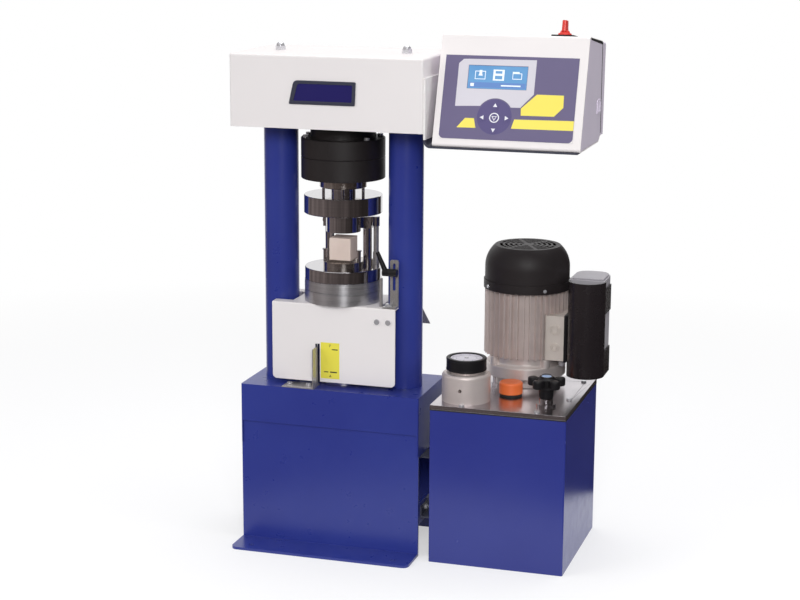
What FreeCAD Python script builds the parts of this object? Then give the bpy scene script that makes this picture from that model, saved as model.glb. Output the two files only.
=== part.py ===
import FreeCAD, Part
import math
import os
import Sketcher

# Compression testing machine: a two-column load frame with a 40 mm cube jig, an oil
# pump unit beside it and a control console on the crosshead.
# Millimetres. Origin on the floor under the load axis, X to the operator's right,
# Y to the back, Z up.

os.makedirs("parts", exist_ok=True)
doc = FreeCAD.newDocument("CompressionMachine")

# Driving dimensions, by group: alias, value, what it is
SIZES = [
    ("running_gap", 0.05, "radial clearance of a running fit"),
    ("hole_gap", 0.3, "radial clearance of a screw or a key in its hole"),
    ("sheet_gap", 0.2, "clearance between neighbouring sheets"),
    ("column_offset", 120.7, "load axis to column axis"),
    ("column_radius", 31.9, "column"),
    ("stud_radius", 21.0, "turned-down column end"),
    ("hood_top", 302.6, "height of the base"),
    ("hood_sheet", 2.5, "sheet of the base hood"),
    ("hood_half_width", 172.3, "base, half its width"),
    ("hood_half_depth", 87.1, "base, half its depth"),
    ("hood_front_skirt", 70.6, "hood, height of the front and rear skirts"),
    ("hood_side_skirt", 112.4, "hood, height of the side skirts"),
    ("leg_plate", 5.0, "plate of the legs and side rails"),
    ("leg_height", 288.0, "legs"),
    ("leg_reach", 151.1, "load axis to the front edge of the foot lip"),
    ("lip_corner", 12.0, "corner radius of the foot lip"),
    ("anchor_offset", 138.0, "floor bolt hole from the middle"),
    ("anchor_inset", 22.0, "floor bolt hole from the edge of the lip"),
    ("anchor_radius", 5.5, "floor bolt hole"),
    ("rail_bottom", 60.0, "side rail above the floor"),
    ("rail_height", 40.0, "side rail"),
    ("block_half_length", 165.0, "cylinder block, half its length"),
    ("block_bottom", 190.0, "underside of the cylinder block"),
    ("bore_bottom", 205.0, "floor of the ram bore"),
    ("port_radius", 8.0, "oil port"),
    ("ram_radius", 50.0, "ram"),
    ("ram_bottom", 212.0, "ram when it is down"),
    ("seal_width", 5.0, "ram seal"),
    ("seal_height", 8.0, "ram seal"),
    ("seal_bottom", 282.0, "ram seal above the floor"),
    ("crosshead_bottom", 788.0, "underside of the crosshead block"),
    ("crosshead_height", 90.0, "crosshead block"),
    ("crosshead_half_length", 165.0, "crosshead block, half its length"),
    ("crosshead_half_depth", 62.0, "crosshead block, half its depth"),
    ("nut_height", 26.0, "column nuts"),
    ("nut_radius", 36.0, "column nuts, over the corners"),
    ("cover_bottom", 785.0, "crosshead cover"),
    ("cover_top", 916.0, "crosshead cover"),
    ("cover_half_width", 180.8, "crosshead cover"),
    ("cover_front", 101.6, "load axis to the front of the crosshead cover"),
    ("cover_back", 108.9, "load axis to the back of the crosshead cover"),
    ("cover_sheet", 2.5, "crosshead cover"),
    ("cover_corner", 4.0, "edge radius of the crosshead cover"),
    ("cap_stud_radius", 5.0, "stud of a cap nut"),
    ("cap_nut_radius", 9.8, "cap nut over its corners"),
    ("cap_nut_height", 7.0, "cap nut below its dome"),
    ("cell_radius", 77.3, "load cell"),
    ("cell_bottom", 686.6, "load cell"),
    ("cell_seam", 726.3, "seam of the load cell's halves"),
    ("cell_shoulder", 761.3, "shoulder of the load cell"),
    ("cell_edge", 1.2, "edge chamfer of the load cell"),
    ("collar_radius", 60.0, "collar between load cell and crosshead"),
    ("cell_screw_circle", 69.0, "load cell screws"),
    ("seat_radius", 43.8, "ball seat"),
    ("seat_bottom", 669.5, "ball seat"),
    ("ball_radius", 50.0, "ball of the upper platen"),
    ("platen_radius", 72.4, "upper platen"),
    ("platen_bottom", 622.3, "upper platen"),
    ("platen_thickness", 33.3, "upper platen"),
    ("neck_radius", 23.1, "neck of the upper platen"),
    ("platen_edge", 0.8, "edge chamfer of the platens"),
    ("rod_circle", 36.5, "rods of the upper platen"),
    ("rod_radius", 2.8, "rods of the upper platen"),
    ("rod_top", 675.0, "rods of the upper platen"),
    ("rod_play", 2.6, "room round a rod in the ball seat"),
    ("hood_to_cover", 8.9, "gap from the base to the ram cover"),
    ("ram_cover_top", 458.0, "top of the ram cover, ram down"),
    ("ram_cover_half_width", 119.0, "ram cover"),
    ("ram_cover_half_depth", 60.0, "ram cover"),
    ("ram_cover_sheet", 2.5, "ram cover"),
    ("ram_cover_bar", 22.0, "depth of the wide bars of its top plate"),
    ("ram_cover_waist", 85.0, "half width of its top between the columns"),
    ("ram_cover_corner", 8.0, "lower corners of the ram cover"),
    ("slot_middle", 30.6, "stroke slot, left of the load axis"),
    ("slot_width", 9.0, "stroke slot"),
    ("slot_top", 383.5, "upper end of the stroke slot"),
    ("spigot_radius", 20.0, "spigot between drum and ram"),
    ("spigot_depth", 12.0, "spigot between drum and ram"),
    ("drum_radius", 71.8, "drum"),
    ("drum_height", 40.9, "drum"),
    ("groove_rise", 22.0, "groove of the drum above its foot"),
    ("groove_size", 1.2, "groove of the drum"),
    ("lower_platen_radius", 71.3, "lower platen"),
    ("lower_platen_thickness", 22.8, "lower platen"),
    ("pointer_sheet", 2.0, "stroke pointer"),
    ("pointer_foot_length", 62.0, "stroke pointer, foot"),
    ("pointer_foot_depth", 38.0, "stroke pointer, foot"),
    ("pointer_depth", 28.0, "stroke pointer, upright"),
    ("pointer_height", 76.0, "stroke pointer, upright"),
    ("jig_base_radius", 37.5, "jig base"),
    ("jig_base_height", 9.3, "jig base"),
    ("anvil_half", 22.0, "jig anvil, half its side"),
    ("anvil_height", 3.3, "jig anvil"),
    ("guide_offset", 37.0, "jig guide column from the middle"),
    ("guide_setback", 30.0, "jig guide column behind the load axis"),
    ("guide_radius", 8.5, "jig guide column"),
    ("guide_top", 609.0, "jig guide column"),
    ("guide_boss", 10.5, "boss round a guide column"),
    ("pin_offset", 33.0, "jig pins from the middle"),
    ("pin_setback", 8.0, "jig pins in front of the load axis"),
    ("pin_radius", 3.5, "jig pins"),
    ("pin_height", 20.0, "jig pins"),
    ("pin_head_radius", 4.8, "jig pins, head"),
    ("pin_head_height", 2.5, "jig pins, head"),
    ("cube_side", 41.0, "mortar cube"),
    ("plunger_radius", 32.0, "jig plunger"),
    ("plunger_bottom", 586.6, "jig plunger"),
    ("plunger_top", 615.3, "jig plunger"),
    ("yoke_half_width", 47.0, "jig yoke"),
    ("yoke_front", 21.0, "jig yoke"),
    ("yoke_back", 41.0, "jig yoke"),
    ("yoke_bottom", 589.5, "jig yoke"),
    ("yoke_top", 611.5, "jig yoke"),
    ("spring_offset", 54.0, "spring tube from the middle"),
    ("spring_socket_radius", 6.0, "spring tube, dark socket"),
    ("spring_socket_height", 23.3, "spring tube, dark socket"),
    ("spring_tube_radius", 5.0, "spring tube"),
    ("spring_tube_top", 597.0, "spring tube"),
    ("spring_cap_radius", 6.6, "cap over the spring tube"),
    ("spring_cap_bottom", 594.0, "cap over the spring tube"),
    ("stop_plate_left", 103.5, "slotted stop plate, left edge"),
    ("stop_plate_width", 16.0, "slotted stop plate"),
    ("stop_plate_back", 39.0, "slotted stop plate, in front of the load axis"),
    ("stop_plate_sheet", 3.0, "slotted stop plate"),
    ("stop_plate_height", 88.0, "slotted stop plate"),
    ("stop_foot_left", 95.0, "foot of the stop plate"),
    ("stop_foot_depth", 17.0, "foot of the stop plate"),
    ("stop_slot_width", 5.4, "slot of the stop plate"),
    ("stop_slot_rise", 31.0, "lower end of that slot above the ram cover"),
    ("stop_slot_length", 51.0, "slot of the stop plate"),
    ("stop_post_x", 88.0, "post beside the stop plate"),
    ("stop_post_y", 46.0, "post beside the stop plate"),
    ("stop_post_radius", 3.0, "post beside the stop plate"),
    ("stop_post_height", 54.0, "post beside the stop plate"),
    ("wing_outer", 151.0, "rear wing, outer corner"),
    ("wing_inner", 80.0, "rear wing, inner edge"),
    ("wing_top_outer", 124.0, "rear wing, where its slope starts"),
    ("wing_height", 50.0, "rear wing"),
    ("clamp_rise", 66.0, "clamp axis above the ram cover"),
    ("clamp_y", 50.2, "clamp axis in front of the load axis"),
    ("clamp_radius", 7.0, "clamp hub"),
    ("clamp_split", 103.9, "where lever hub and carriage meet"),
    ("clamp_left", 92.5, "left end of the lever hub"),
    ("lever_length", 40.0, "clamp lever"),
    ("lever_lean", 24.0, "lean of the clamp lever, degrees"),
    ("tank_left", 198.0, "tank"),
    ("tank_width", 250.0, "tank"),
    ("tank_front", 103.0, "tank front, in front of the load axis"),
    ("tank_depth", 280.0, "tank"),
    ("tank_height", 287.5, "tank without lid"),
    ("tank_wall", 2.5, "tank"),
    ("tank_rim", 24.0, "inner rim of the tank"),
    ("gasket_height", 2.0, "tank gasket"),
    ("lid_height", 8.0, "tank lid"),
    ("lid_screw_inset", 18.0, "lid screws from the side edges"),
    ("lid_screw_front", 8.0, "lid screws from the front and back edges"),
    ("screw_radius", 3.0, "small screws, shank"),
    ("screw_head_radius", 5.0, "small screws, head"),
    ("screw_head_height", 5.0, "small screws, head"),
    ("regulator_x", 250.4, "regulator"),
    ("regulator_y", 45.6, "regulator, in front of the load axis"),
    ("regulator_radius", 44.2, "regulator body"),
    ("regulator_height", 52.0, "regulator body"),
    ("regulator_edge", 6.0, "shoulder radius of the regulator body"),
    ("regulator_hole_rise", 26.0, "radial hole above the lid"),
    ("regulator_hole_radius", 3.4, "radial hole"),
    ("dial_knob_radius", 36.9, "regulator knob"),
    ("dial_knob_height", 23.0, "regulator knob"),
    ("dial_knob_rise", 56.5, "regulator knob above the lid"),
    ("dial_face_radius", 29.5, "recess for the knob's face"),
    ("dial_face_depth", 2.5, "recess for the knob's face"),
    ("spindle_radius", 8.0, "regulator spindle"),
    ("flute_radius", 1.6, "flutes of the regulator knob"),
    ("flute_count", 36.0, "flutes of the regulator knob"),
    ("filler_x", 321.0, "filler cap"),
    ("filler_y", 8.0, "filler cap behind the load axis"),
    ("filler_neck_radius", 14.0, "filler neck"),
    ("filler_neck_height", 17.0, "filler neck"),
    ("filler_bore", 11.0, "filler neck bore"),
    ("filler_gasket_radius", 20.6, "filler gasket"),
    ("filler_gasket_height", 5.0, "filler gasket"),
    ("filler_cap_radius", 21.8, "filler cap"),
    ("filler_cap_height", 21.0, "filler cap"),
    ("filler_cap_edge", 4.0, "filler cap, upper edge radius"),
    ("valve_x", 398.6, "release valve"),
    ("valve_y", 43.5, "release valve, in front of the load axis"),
    ("valve_flange_radius", 17.9, "release valve, flange"),
    ("valve_flange_height", 5.0, "release valve, flange"),
    ("valve_neck_radius", 12.5, "release valve, neck"),
    ("valve_neck_height", 14.5, "release valve, top of the neck above the lid"),
    ("valve_spindle_radius", 6.0, "release valve, spindle"),
    ("valve_spindle_top", 34.0, "release valve, spindle above the lid"),
    ("star_rise", 15.0, "star knob above the lid"),
    ("star_hub_radius", 13.4, "star knob, foot of the hub"),
    ("star_hub_top_radius", 16.5, "star knob, top of the hub"),
    ("star_height", 37.0, "star knob without its cap"),
    ("star_lobe_reach", 33.8, "star knob over its lobes"),
    ("star_lobe_radius", 8.5, "lobe of the star knob"),
    ("star_lobe_height", 15.0, "lobe of the star knob"),
    ("star_cap_radius", 10.5, "cap disc of the star knob"),
    ("star_cap_height", 3.0, "cap disc of the star knob"),
    ("star_lobes", 5.0, "lobes of the star knob"),
    ("motor_x", 323.0, "motor axis"),
    ("motor_y", 115.0, "motor axis behind the load axis"),
    ("bell_foot_radius", 53.7, "motor bell, foot"),
    ("bell_foot_height", 38.8, "motor bell, foot"),
    ("bell_radius", 64.9, "motor bell"),
    ("bell_height", 58.1, "motor bell"),
    ("lug_circle", 68.0, "lugs of the motor bell"),
    ("lug_radius", 8.0, "lugs of the motor bell"),
    ("lug_height", 19.3, "lugs of the motor bell"),
    ("motor_core_radius", 69.0, "motor housing under its fins"),
    ("motor_bore_radius", 62.0, "motor housing, inside"),
    ("fin_radius", 78.6, "motor housing over its fins"),
    ("fin_width", 3.6, "fin"),
    ("fin_count", 40.0, "fins"),
    ("housing_height", 134.0, "motor housing"),
    ("end_shield", 7.0, "upper end of the motor housing"),
    ("shaft_radius", 9.5, "motor shaft"),
    ("shaft_gap", 0.1, "air round the shaft in its bores"),
    ("rotor_radius", 39.5, "rotor"),
    ("stator_bore", 40.0, "stator"),
    ("rotor_height", 84.0, "rotor and stator"),
    ("rotor_rise", 22.0, "rotor above the foot of the housing"),
    ("fan_radius", 58.0, "fan"),
    ("fan_rise", 146.0, "fan above the foot of the housing"),
    ("fan_height", 24.0, "fan"),
    ("fan_blade", 2.4, "fan blade"),
    ("fan_blades", 8.0, "fan blades"),
    ("cowl_ring_radius", 80.9, "fan cowl, ring"),
    ("cowl_ring_rise", 124.4, "fan cowl, ring above the foot of the housing"),
    ("cowl_ring_height", 16.0, "fan cowl, ring"),
    ("cowl_radius", 78.9, "fan cowl, wall"),
    ("cowl_straight", 24.0, "fan cowl, straight wall above the ring"),
    ("cowl_dome", 40.0, "fan cowl, height of its curved part"),
    ("cowl_top_radius", 61.0, "fan cowl, flat top"),
    ("cowl_sheet", 2.0, "fan cowl"),
    ("grille_pitch", 9.0, "rings of the grille"),
    ("grille_slot", 5.0, "slots of the grille"),
    ("grille_rings", 5.0, "rings of slots"),
    ("grille_spoke", 6.0, "spokes of the grille"),
    ("terminal_left", 372.0, "terminal box"),
    ("terminal_right", 407.0, "terminal box"),
    ("terminal_front", 58.0, "terminal box behind the load axis"),
    ("terminal_width", 108.0, "terminal box"),
    ("terminal_bottom", 356.0, "terminal box"),
    ("terminal_height", 84.0, "terminal box"),
    ("terminal_lid_sheet", 6.0, "terminal box lid"),
    ("terminal_lid_edge", 2.0, "overhang of the terminal box lid"),
    ("knockout_radius", 9.3, "upper knockout"),
    ("knockout_small", 7.4, "lower knockout"),
    ("knockout_raise", 1.2, "knockouts"),
    ("gland_radius", 7.2, "cable gland"),
    ("gland_height", 14.0, "cable gland"),
    ("capacitor_width", 69.0, "capacitor housing"),
    ("capacitor_front", 62.0, "capacitor housing behind the load axis"),
    ("capacitor_depth", 73.0, "capacitor housing"),
    ("capacitor_bottom", 330.0, "capacitor housing"),
    ("capacitor_height", 175.0, "capacitor housing"),
    ("capacitor_corner", 12.0, "capacitor housing"),
    ("sleeve_bottom", 332.0, "capacitor sleeve"),
    ("sleeve_height", 165.0, "capacitor sleeve"),
    ("sleeve_wall", 2.5, "capacitor sleeve"),
    ("band_height", 48.0, "clips of the capacitor sleeve"),
    ("band_upper", 436.0, "upper clip of the capacitor sleeve"),
    ("band_lower", 332.0, "lower clip of the capacitor sleeve"),
    ("band_depth", 52.0, "clips of the capacitor sleeve"),
    ("pump_flange_radius", 37.5, "pump flange"),
    ("pump_flange_height", 10.0, "pump flange"),
    ("pump_radius", 32.0, "pump"),
    ("pump_height", 80.0, "pump under its flange"),
    ("console_left", 196.0, "console"),
    ("console_right", 459.5, "console"),
    ("console_low_y", 98.0, "console, lower front edge before the load axis"),
    ("console_low_z", 763.5, "console, lower front edge"),
    ("console_high_y", 33.0, "console, upper front edge before the load axis"),
    ("console_high_z", 956.5, "console, upper front edge"),
    ("console_back_y", 116.0, "console, upper back edge"),
    ("console_back_z", 937.0, "console, upper back edge"),
    ("console_rear_y", 108.0, "console, lower back edge"),
    ("console_rear_z", 773.5, "console, lower back edge"),
    ("console_heel_y", 63.0, "console, back of its underside"),
    ("console_seam_y", 80.0, "console, seam of the rear cover"),
    ("console_edge", 5.0, "console, edge radius"),
    ("cheek_sheet", 3.0, "side cheeks"),
    ("cheek_inset", 2.0, "side cheeks inside the outline"),
    ("overlay_left", 11.0, "overlay from the console's left side"),
    ("overlay_bottom", 16.5, "overlay, up the slope"),
    ("overlay_width", 237.5, "overlay"),
    ("overlay_height", 148.5, "overlay"),
    ("overlay_sheet", 0.8, "overlay"),
    ("overlay_corner", 8.0, "overlay, lower corners"),
    ("display_left", 54.0, "display from the console's left side"),
    ("display_bottom", 106.5, "display, up the slope"),
    ("display_width", 105.5, "display"),
    ("display_height", 41.0, "display"),
    ("keypad_x", 107.5, "keypad from the console's left side"),
    ("keypad_rise", 55.6, "keypad, up the slope"),
    ("key_spread", 21.3, "arrow keys from the centre key"),
    ("key_radius", 6.5, "arrow keys"),
    ("centre_key_radius", 9.0, "centre key"),
    ("key_depth", 2.5, "pocket of a key under the overlay"),
    ("key_travel", 0.5, "travel of a key"),
    ("switch_x", 406.5, "main switch"),
    ("switch_back", 38.0, "main switch, back along the sloping top"),
    ("switch_side", 53.0, "main switch plate"),
    ("switch_plate_height", 6.0, "main switch plate"),
    ("switch_disc_radius", 11.5, "main switch knob, foot"),
    ("switch_disc_height", 5.0, "main switch knob, foot"),
    ("switch_grip_width", 12.5, "main switch knob, grip"),
    ("switch_grip_length", 36.0, "main switch knob, grip"),
    ("switch_grip_height", 22.0, "main switch knob, grip"),
    ("bracket_sheet", 3.0, "console bracket"),
    ("bracket_height", 118.0, "console bracket, upright"),
    ("bracket_back", 60.0, "console bracket behind the load axis"),
    ("bracket_bend", 12.0, "console bracket, bend"),
    ("inlet_width", 48.0, "mains inlet"),
    ("inlet_height", 28.0, "mains inlet"),
    ("inlet_depth", 20.0, "mains inlet"),
    ("inlet_proud", 3.0, "mains inlet"),
    ("inlet_rise", 40.0, "mains inlet above the foot of the rear cover"),
    ("tie_width", 50.0, "tank brackets, along the depth"),
    ("tie_sheet", 3.0, "tank brackets"),
    ("tie_flange", 22.0, "tank brackets, flanges"),
    ("tie_front", 72.0, "tank brackets, front edge before the load axis"),
    ("tie_low", 72.0, "lower tank bracket above the floor"),
    ("tie_overlap", 13.0, "upper tank bracket under the block"),
]


class Dim:
    """A size: the sheet formula that it follows, and its number now."""

    def __init__(self, formula, number):
        self.formula = formula
        self.number = number

    @staticmethod
    def of(value):
        if isinstance(value, Dim):
            return value
        return Dim("(" + repr(float(value)) + ")", float(value))

    def join(self, other, sign, number):
        return Dim("(" + self.formula + sign + Dim.of(other).formula + ")", number)

    def __add__(self, other):
        return self.join(other, " + ", self.number + Dim.of(other).number)

    def __radd__(self, other):
        return Dim.of(other) + self

    def __sub__(self, other):
        return self.join(other, " - ", self.number - Dim.of(other).number)

    def __rsub__(self, other):
        return Dim.of(other) - self

    def __mul__(self, other):
        return self.join(other, " * ", self.number * Dim.of(other).number)

    def __rmul__(self, other):
        return self * other

    def __truediv__(self, other):
        return self.join(other, " / ", self.number / Dim.of(other).number)

    def __neg__(self):
        return Dim.of(0) - self


class Sizes:
    """The sheet's driving dimensions, one attribute for each alias."""

    def __init__(self, rows):
        self.sheet = doc.addObject("Spreadsheet::Sheet", "Sizes")
        for row, (alias, value, note) in enumerate(rows, start=1):
            self.sheet.set("A" + str(row), note)
            self.sheet.set("B" + str(row), str(value))
            self.sheet.setAlias("B" + str(row), alias)
        doc.recompute()
        for alias, value, note in rows:
            number = float(self.sheet.get(alias))
            setattr(self, alias, Dim("Sizes." + alias, number))


S = Sizes(SIZES)
ZERO = Dim.of(0)
SUB_PARTS = []


def node(thing, label):
    """Give a finished sub-part the label that names its file."""
    thing.Label = label
    SUB_PARTS.append(thing)
    return thing


def bind(thing, path, dim):
    thing.setExpression(path, Dim.of(dim).formula)


def place(thing, x, y, z, axis=None, degrees=0.0):
    """Put a thing at a point that follows the sheet, turned about an axis."""
    turn = FreeCAD.Rotation()
    if axis is not None:
        turn = FreeCAD.Rotation(FreeCAD.Vector(*axis), degrees)
    at = FreeCAD.Vector(*[Dim.of(v).number for v in (x, y, z)])
    thing.Placement = FreeCAD.Placement(at, turn)
    for name, value in (("x", x), ("y", y), ("z", z)):
        bind(thing, "Placement.Base." + name, value)
    return thing


# Part primitives and booleans

def box(x_low, x_high, y_low, y_high, z_low, z_high, name="Block"):
    thing = doc.addObject("Part::Box", name)
    bind(thing, "Length", Dim.of(x_high) - x_low)
    bind(thing, "Width", Dim.of(y_high) - y_low)
    bind(thing, "Height", Dim.of(z_high) - z_low)
    return place(thing, x_low, y_low, z_low)


AXES = {"z": (None, 0.0), "x": ((0, 1, 0), 90.0), "y": ((1, 0, 0), -90.0)}


def rod(radius, low, high, x=ZERO, y=ZERO, along="z", name="Round"):
    """A cylinder from low to high along an axis; x and y are its other places in order."""
    thing = doc.addObject("Part::Cylinder", name)
    bind(thing, "Radius", radius)
    bind(thing, "Height", Dim.of(high) - low)
    axis, degrees = AXES[along]
    spot = {"z": (x, y, low), "x": (low, x, y), "y": (x, low, y)}[along]
    return place(thing, *spot, axis, degrees)


def cone(low_radius, high_radius, low, high, x=ZERO, y=ZERO):
    thing = doc.addObject("Part::Cone", "Taper")
    bind(thing, "Radius1", low_radius)
    bind(thing, "Radius2", high_radius)
    bind(thing, "Height", Dim.of(high) - low)
    return place(thing, x, y, low)


def hexagon(corner_radius, low, high, x=ZERO, y=ZERO):
    thing = doc.addObject("Part::Prism", "Hexagon")
    thing.Polygon = 6
    bind(thing, "Circumradius", corner_radius)
    bind(thing, "Height", Dim.of(high) - low)
    return place(thing, x, y, low)


def fuse(*pieces):
    thing = doc.addObject("Part::MultiFuse", "Joined")
    thing.Shapes = list(pieces)
    thing.Refine = True
    return thing


def together(*pieces):
    """Separate solids kept in one group."""
    thing = doc.addObject("Part::Compound", "Group")
    thing.Links = list(pieces)
    return thing


def cut(base, *tools):
    thing = doc.addObject("Part::Cut", "Trimmed")
    thing.Base = base
    thing.Tool = tools[0] if len(tools) == 1 else fuse(*tools)
    thing.Refine = True
    return thing


def rounded(base, radius, wanted, chamfer=False):
    """Round the edges of a Part object that the test names."""
    doc.recompute()
    thing = doc.addObject("Part::Chamfer" if chamfer else "Part::Fillet", "Edged")
    thing.Base = base
    edges = base.Shape.Edges
    picked = [i for i, edge in enumerate(edges, start=1) if wanted(edge)]
    thing.Edges = [(i, radius.number, radius.number) for i in picked]
    base.Visibility = False
    return thing


def upright(edge):
    """True for a straight vertical edge."""
    ends = edge.Vertexes
    if len(ends) != 2 or edge.Curve.TypeId != "Part::GeomLine":
        return False
    return abs(ends[0].X - ends[1].X) < 0.01 and abs(ends[0].Y - ends[1].Y) < 0.01


# PartDesign bodies

def origin_plane(body, role):
    return next(f for f in body.Origin.OriginFeatures if f.Role == role)


def outline(body, role, corners, lift=None, rounds=()):
    """A sketch on an origin plane: straight runs between corners, or circles."""
    sketch = body.newObject("Sketcher::SketchObject", "Outline")
    sketch.AttachmentSupport = [(origin_plane(body, role), "")]
    sketch.MapMode = "FlatFace"
    if lift is not None:
        sketch.AttachmentOffset = FreeCAD.Placement(
            FreeCAD.Vector(0, 0, Dim.of(lift).number), FreeCAD.Rotation())
        bind(sketch, "AttachmentOffset.Base.z", lift)
    held = []
    spots = [tuple(Dim.of(v) for v in corner) for corner in corners]
    for i, (across, up) in enumerate(spots):
        after = spots[(i + 1) % len(spots)]
        start = FreeCAD.Vector(across.number, up.number, 0)
        end = FreeCAD.Vector(after[0].number, after[1].number, 0)
        sketch.addGeometry(Part.LineSegment(start, end), False)
        held.append((i, 1, across, up))
    for i in range(len(spots)):
        sketch.addConstraint(Sketcher.Constraint("Coincident", i, 2, (i + 1) % len(spots), 1))
    for across, up, radius in rounds:
        across, up, radius = Dim.of(across), Dim.of(up), Dim.of(radius)
        middle = FreeCAD.Vector(across.number, up.number, 0)
        ring = Part.Circle(middle, FreeCAD.Vector(0, 0, 1), radius.number)
        index = sketch.addGeometry(ring, False)
        held.append((index, 3, across, up))
        last = sketch.addConstraint(Sketcher.Constraint("Radius", index, radius.number))
        bind(sketch, "Constraints[" + str(last) + "]", radius)
    for index, point, across, up in held:
        for kind, value in (("DistanceX", across), ("DistanceY", up)):
            rule = Sketcher.Constraint(kind, -1, 1, index, point, value.number)
            last = sketch.addConstraint(rule)
            bind(sketch, "Constraints[" + str(last) + "]", value)
    sketch.Visibility = False
    return sketch


def new_body(x=ZERO, y=ZERO, z=ZERO, axis=None, degrees=0.0):
    return place(doc.addObject("PartDesign::Body", "Body"), x, y, z, axis, degrees)


def turn(body, corners):
    """Revolve a half profile, given as radius and height, about the body's Z axis."""
    feature = body.newObject("PartDesign::Revolution", "Turned")
    feature.Profile = outline(body, "XZ_Plane", corners)
    feature.ReferenceAxis = (feature.Profile[0], ["V_Axis"])
    feature.Angle = 360
    return feature


def pad(body, sketch, length, middle=False, flipped=False):
    feature = body.newObject("PartDesign::Pad", "Pad")
    feature.Profile = sketch
    bind(feature, "Length", length)
    feature.Midplane = middle
    feature.Reversed = flipped
    return feature


def volume_now(body):
    doc.recompute()
    return body.Shape.Volume


def pocket(body, sketch, depth=None, flipped=False):
    """Cut a sketch into the body, by a depth or through both ways, and see that it cuts."""
    before = volume_now(body)
    feature = body.newObject("PartDesign::Pocket", "Pocket")
    feature.Profile = sketch
    if depth is None:
        feature.Type = "ThroughAll"
        feature.Midplane = True
    else:
        bind(feature, "Length", depth)
        feature.Reversed = flipped
    if volume_now(body) >= before - 0.01:
        raise ValueError("a pocket cuts nothing in " + body.Label)
    return feature


def around(body, feature, count):
    """Repeat a feature round the body's Z axis."""
    pattern = body.newObject("PartDesign::PolarPattern", "Around")
    pattern.Originals = [feature]
    axis = next(f for f in body.Origin.OriginFeatures if f.Role == "Z_Axis")
    pattern.Axis = (axis, [""])
    pattern.Angle = 360
    bind(pattern, "Occurrences", count)
    body.Tip = pattern
    return pattern


def soften(body, radius, wanted, kind="PartDesign::Fillet"):
    """Round or chamfer the body's edges that the test names."""
    doc.recompute()
    base = body.Tip
    names = ["Edge" + str(i) for i, edge in enumerate(base.Shape.Edges, start=1) if wanted(edge)]
    feature = body.newObject(kind, "Edges")
    feature.Base = (base, names)
    bind(feature, "Size" if kind.endswith("Chamfer") else "Radius", radius)
    body.Tip = feature
    return feature


def ring_at(radius, height):
    """A test for the circular edges of one radius at one height of their body."""
    def wanted(edge):
        curve = edge.Curve
        if curve.TypeId != "Part::GeomCircle":
            return False
        return abs(curve.Radius - radius.number) < 0.02 and abs(curve.Center.z - height.number) < 0.02
    return wanted


def disc(radius, low, high, edge=None, x=ZERO, y=ZERO):
    """A turned disc with both rims chamfered."""
    body = new_body(x, y)
    turn(body, [(ZERO, low), (radius, low), (radius, high), (ZERO, high)])
    if edge is not None:
        def rims(line):
            return ring_at(radius, Dim.of(low))(line) or ring_at(radius, Dim.of(high))(line)
        soften(body, edge, rims, "PartDesign::Chamfer")
    return body


# Base

block_top = S.hood_top - S.hood_sheet
leg_face = S.hood_half_depth - S.hood_sheet - S.sheet_gap
leg_back = leg_face - S.leg_plate
inner_half_width = S.hood_half_width - S.hood_sheet - S.sheet_gap
skirt_bottom = S.hood_top - S.hood_side_skirt


def leg(side):
    """A leg plate bent outwards into a foot lip; side -1 is the front, 1 the back."""
    body = new_body()
    corners = [
        (side * leg_back, ZERO), (side * S.leg_reach, ZERO),
        (side * S.leg_reach, S.leg_plate), (side * leg_face, S.leg_plate),
        (side * leg_face, S.leg_height), (side * leg_back, S.leg_height)]
    pad(body, outline(body, "YZ_Plane", corners), S.hood_half_width * 2, middle=True)
    shoulder = skirt_bottom - S.sheet_gap
    for hand in (-1, 1):
        step = [
            (hand * inner_half_width, shoulder), (hand * (S.hood_half_width + 1), shoulder),
            (hand * (S.hood_half_width + 1), S.leg_height + 1),
            (hand * inner_half_width, S.leg_height + 1)]
        pocket(body, outline(body, "XZ_Plane", step))
    hole_y = side * (S.leg_reach - S.anchor_inset)
    holes = [(hand * S.anchor_offset, hole_y, S.anchor_radius) for hand in (-1, 1)]
    pocket(body, outline(body, "XY_Plane", [], rounds=holes))
    outer = side * S.leg_reach.number

    def lip_corners(edge):
        return upright(edge) and abs(edge.Vertexes[0].Y - outer) < 0.01
    soften(body, S.lip_corner, lip_corners)
    return body


node(together(leg(-1), leg(1)), "base_legs")


def rail(hand):
    outer = hand * S.hood_half_width
    inner = hand * (S.hood_half_width - S.leg_plate)
    low, high = (inner, outer) if hand > 0 else (outer, inner)
    return box(low, high, -leg_back, leg_back, S.rail_bottom, S.rail_bottom + S.rail_height)


node(together(rail(-1), rail(1)), "base_side_rails")


def hood():
    """The sheet hood over the base, with column holes and the ram's opening."""
    wide, deep = S.hood_half_width, S.hood_half_depth
    shell = box(-wide, wide, -deep, deep, skirt_bottom, S.hood_top)
    shell = rounded(shell, S.hood_sheet, lambda edge: upright(edge))
    room = box(-wide + S.hood_sheet, wide - S.hood_sheet, -deep + S.hood_sheet,
               deep - S.hood_sheet, skirt_bottom - 1, block_top)
    shorten = S.hood_top - S.hood_front_skirt
    window = box(-inner_half_width - S.sheet_gap, inner_half_width + S.sheet_gap,
                 -deep - 1, deep + 1, skirt_bottom - 1, shorten)
    hole = S.column_radius + S.hole_gap
    columns = [rod(hole, block_top - 1, S.hood_top + 1, x=hand * S.column_offset)
               for hand in (-1, 1)]
    ram = rod(S.ram_radius + S.hole_gap, block_top - 1, S.hood_top + 1)
    return cut(shell, room, window, ram, *columns)


node(hood(), "base_hood")

bore_radius = S.ram_radius + S.running_gap
stud_hole = S.stud_radius + S.running_gap


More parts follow.
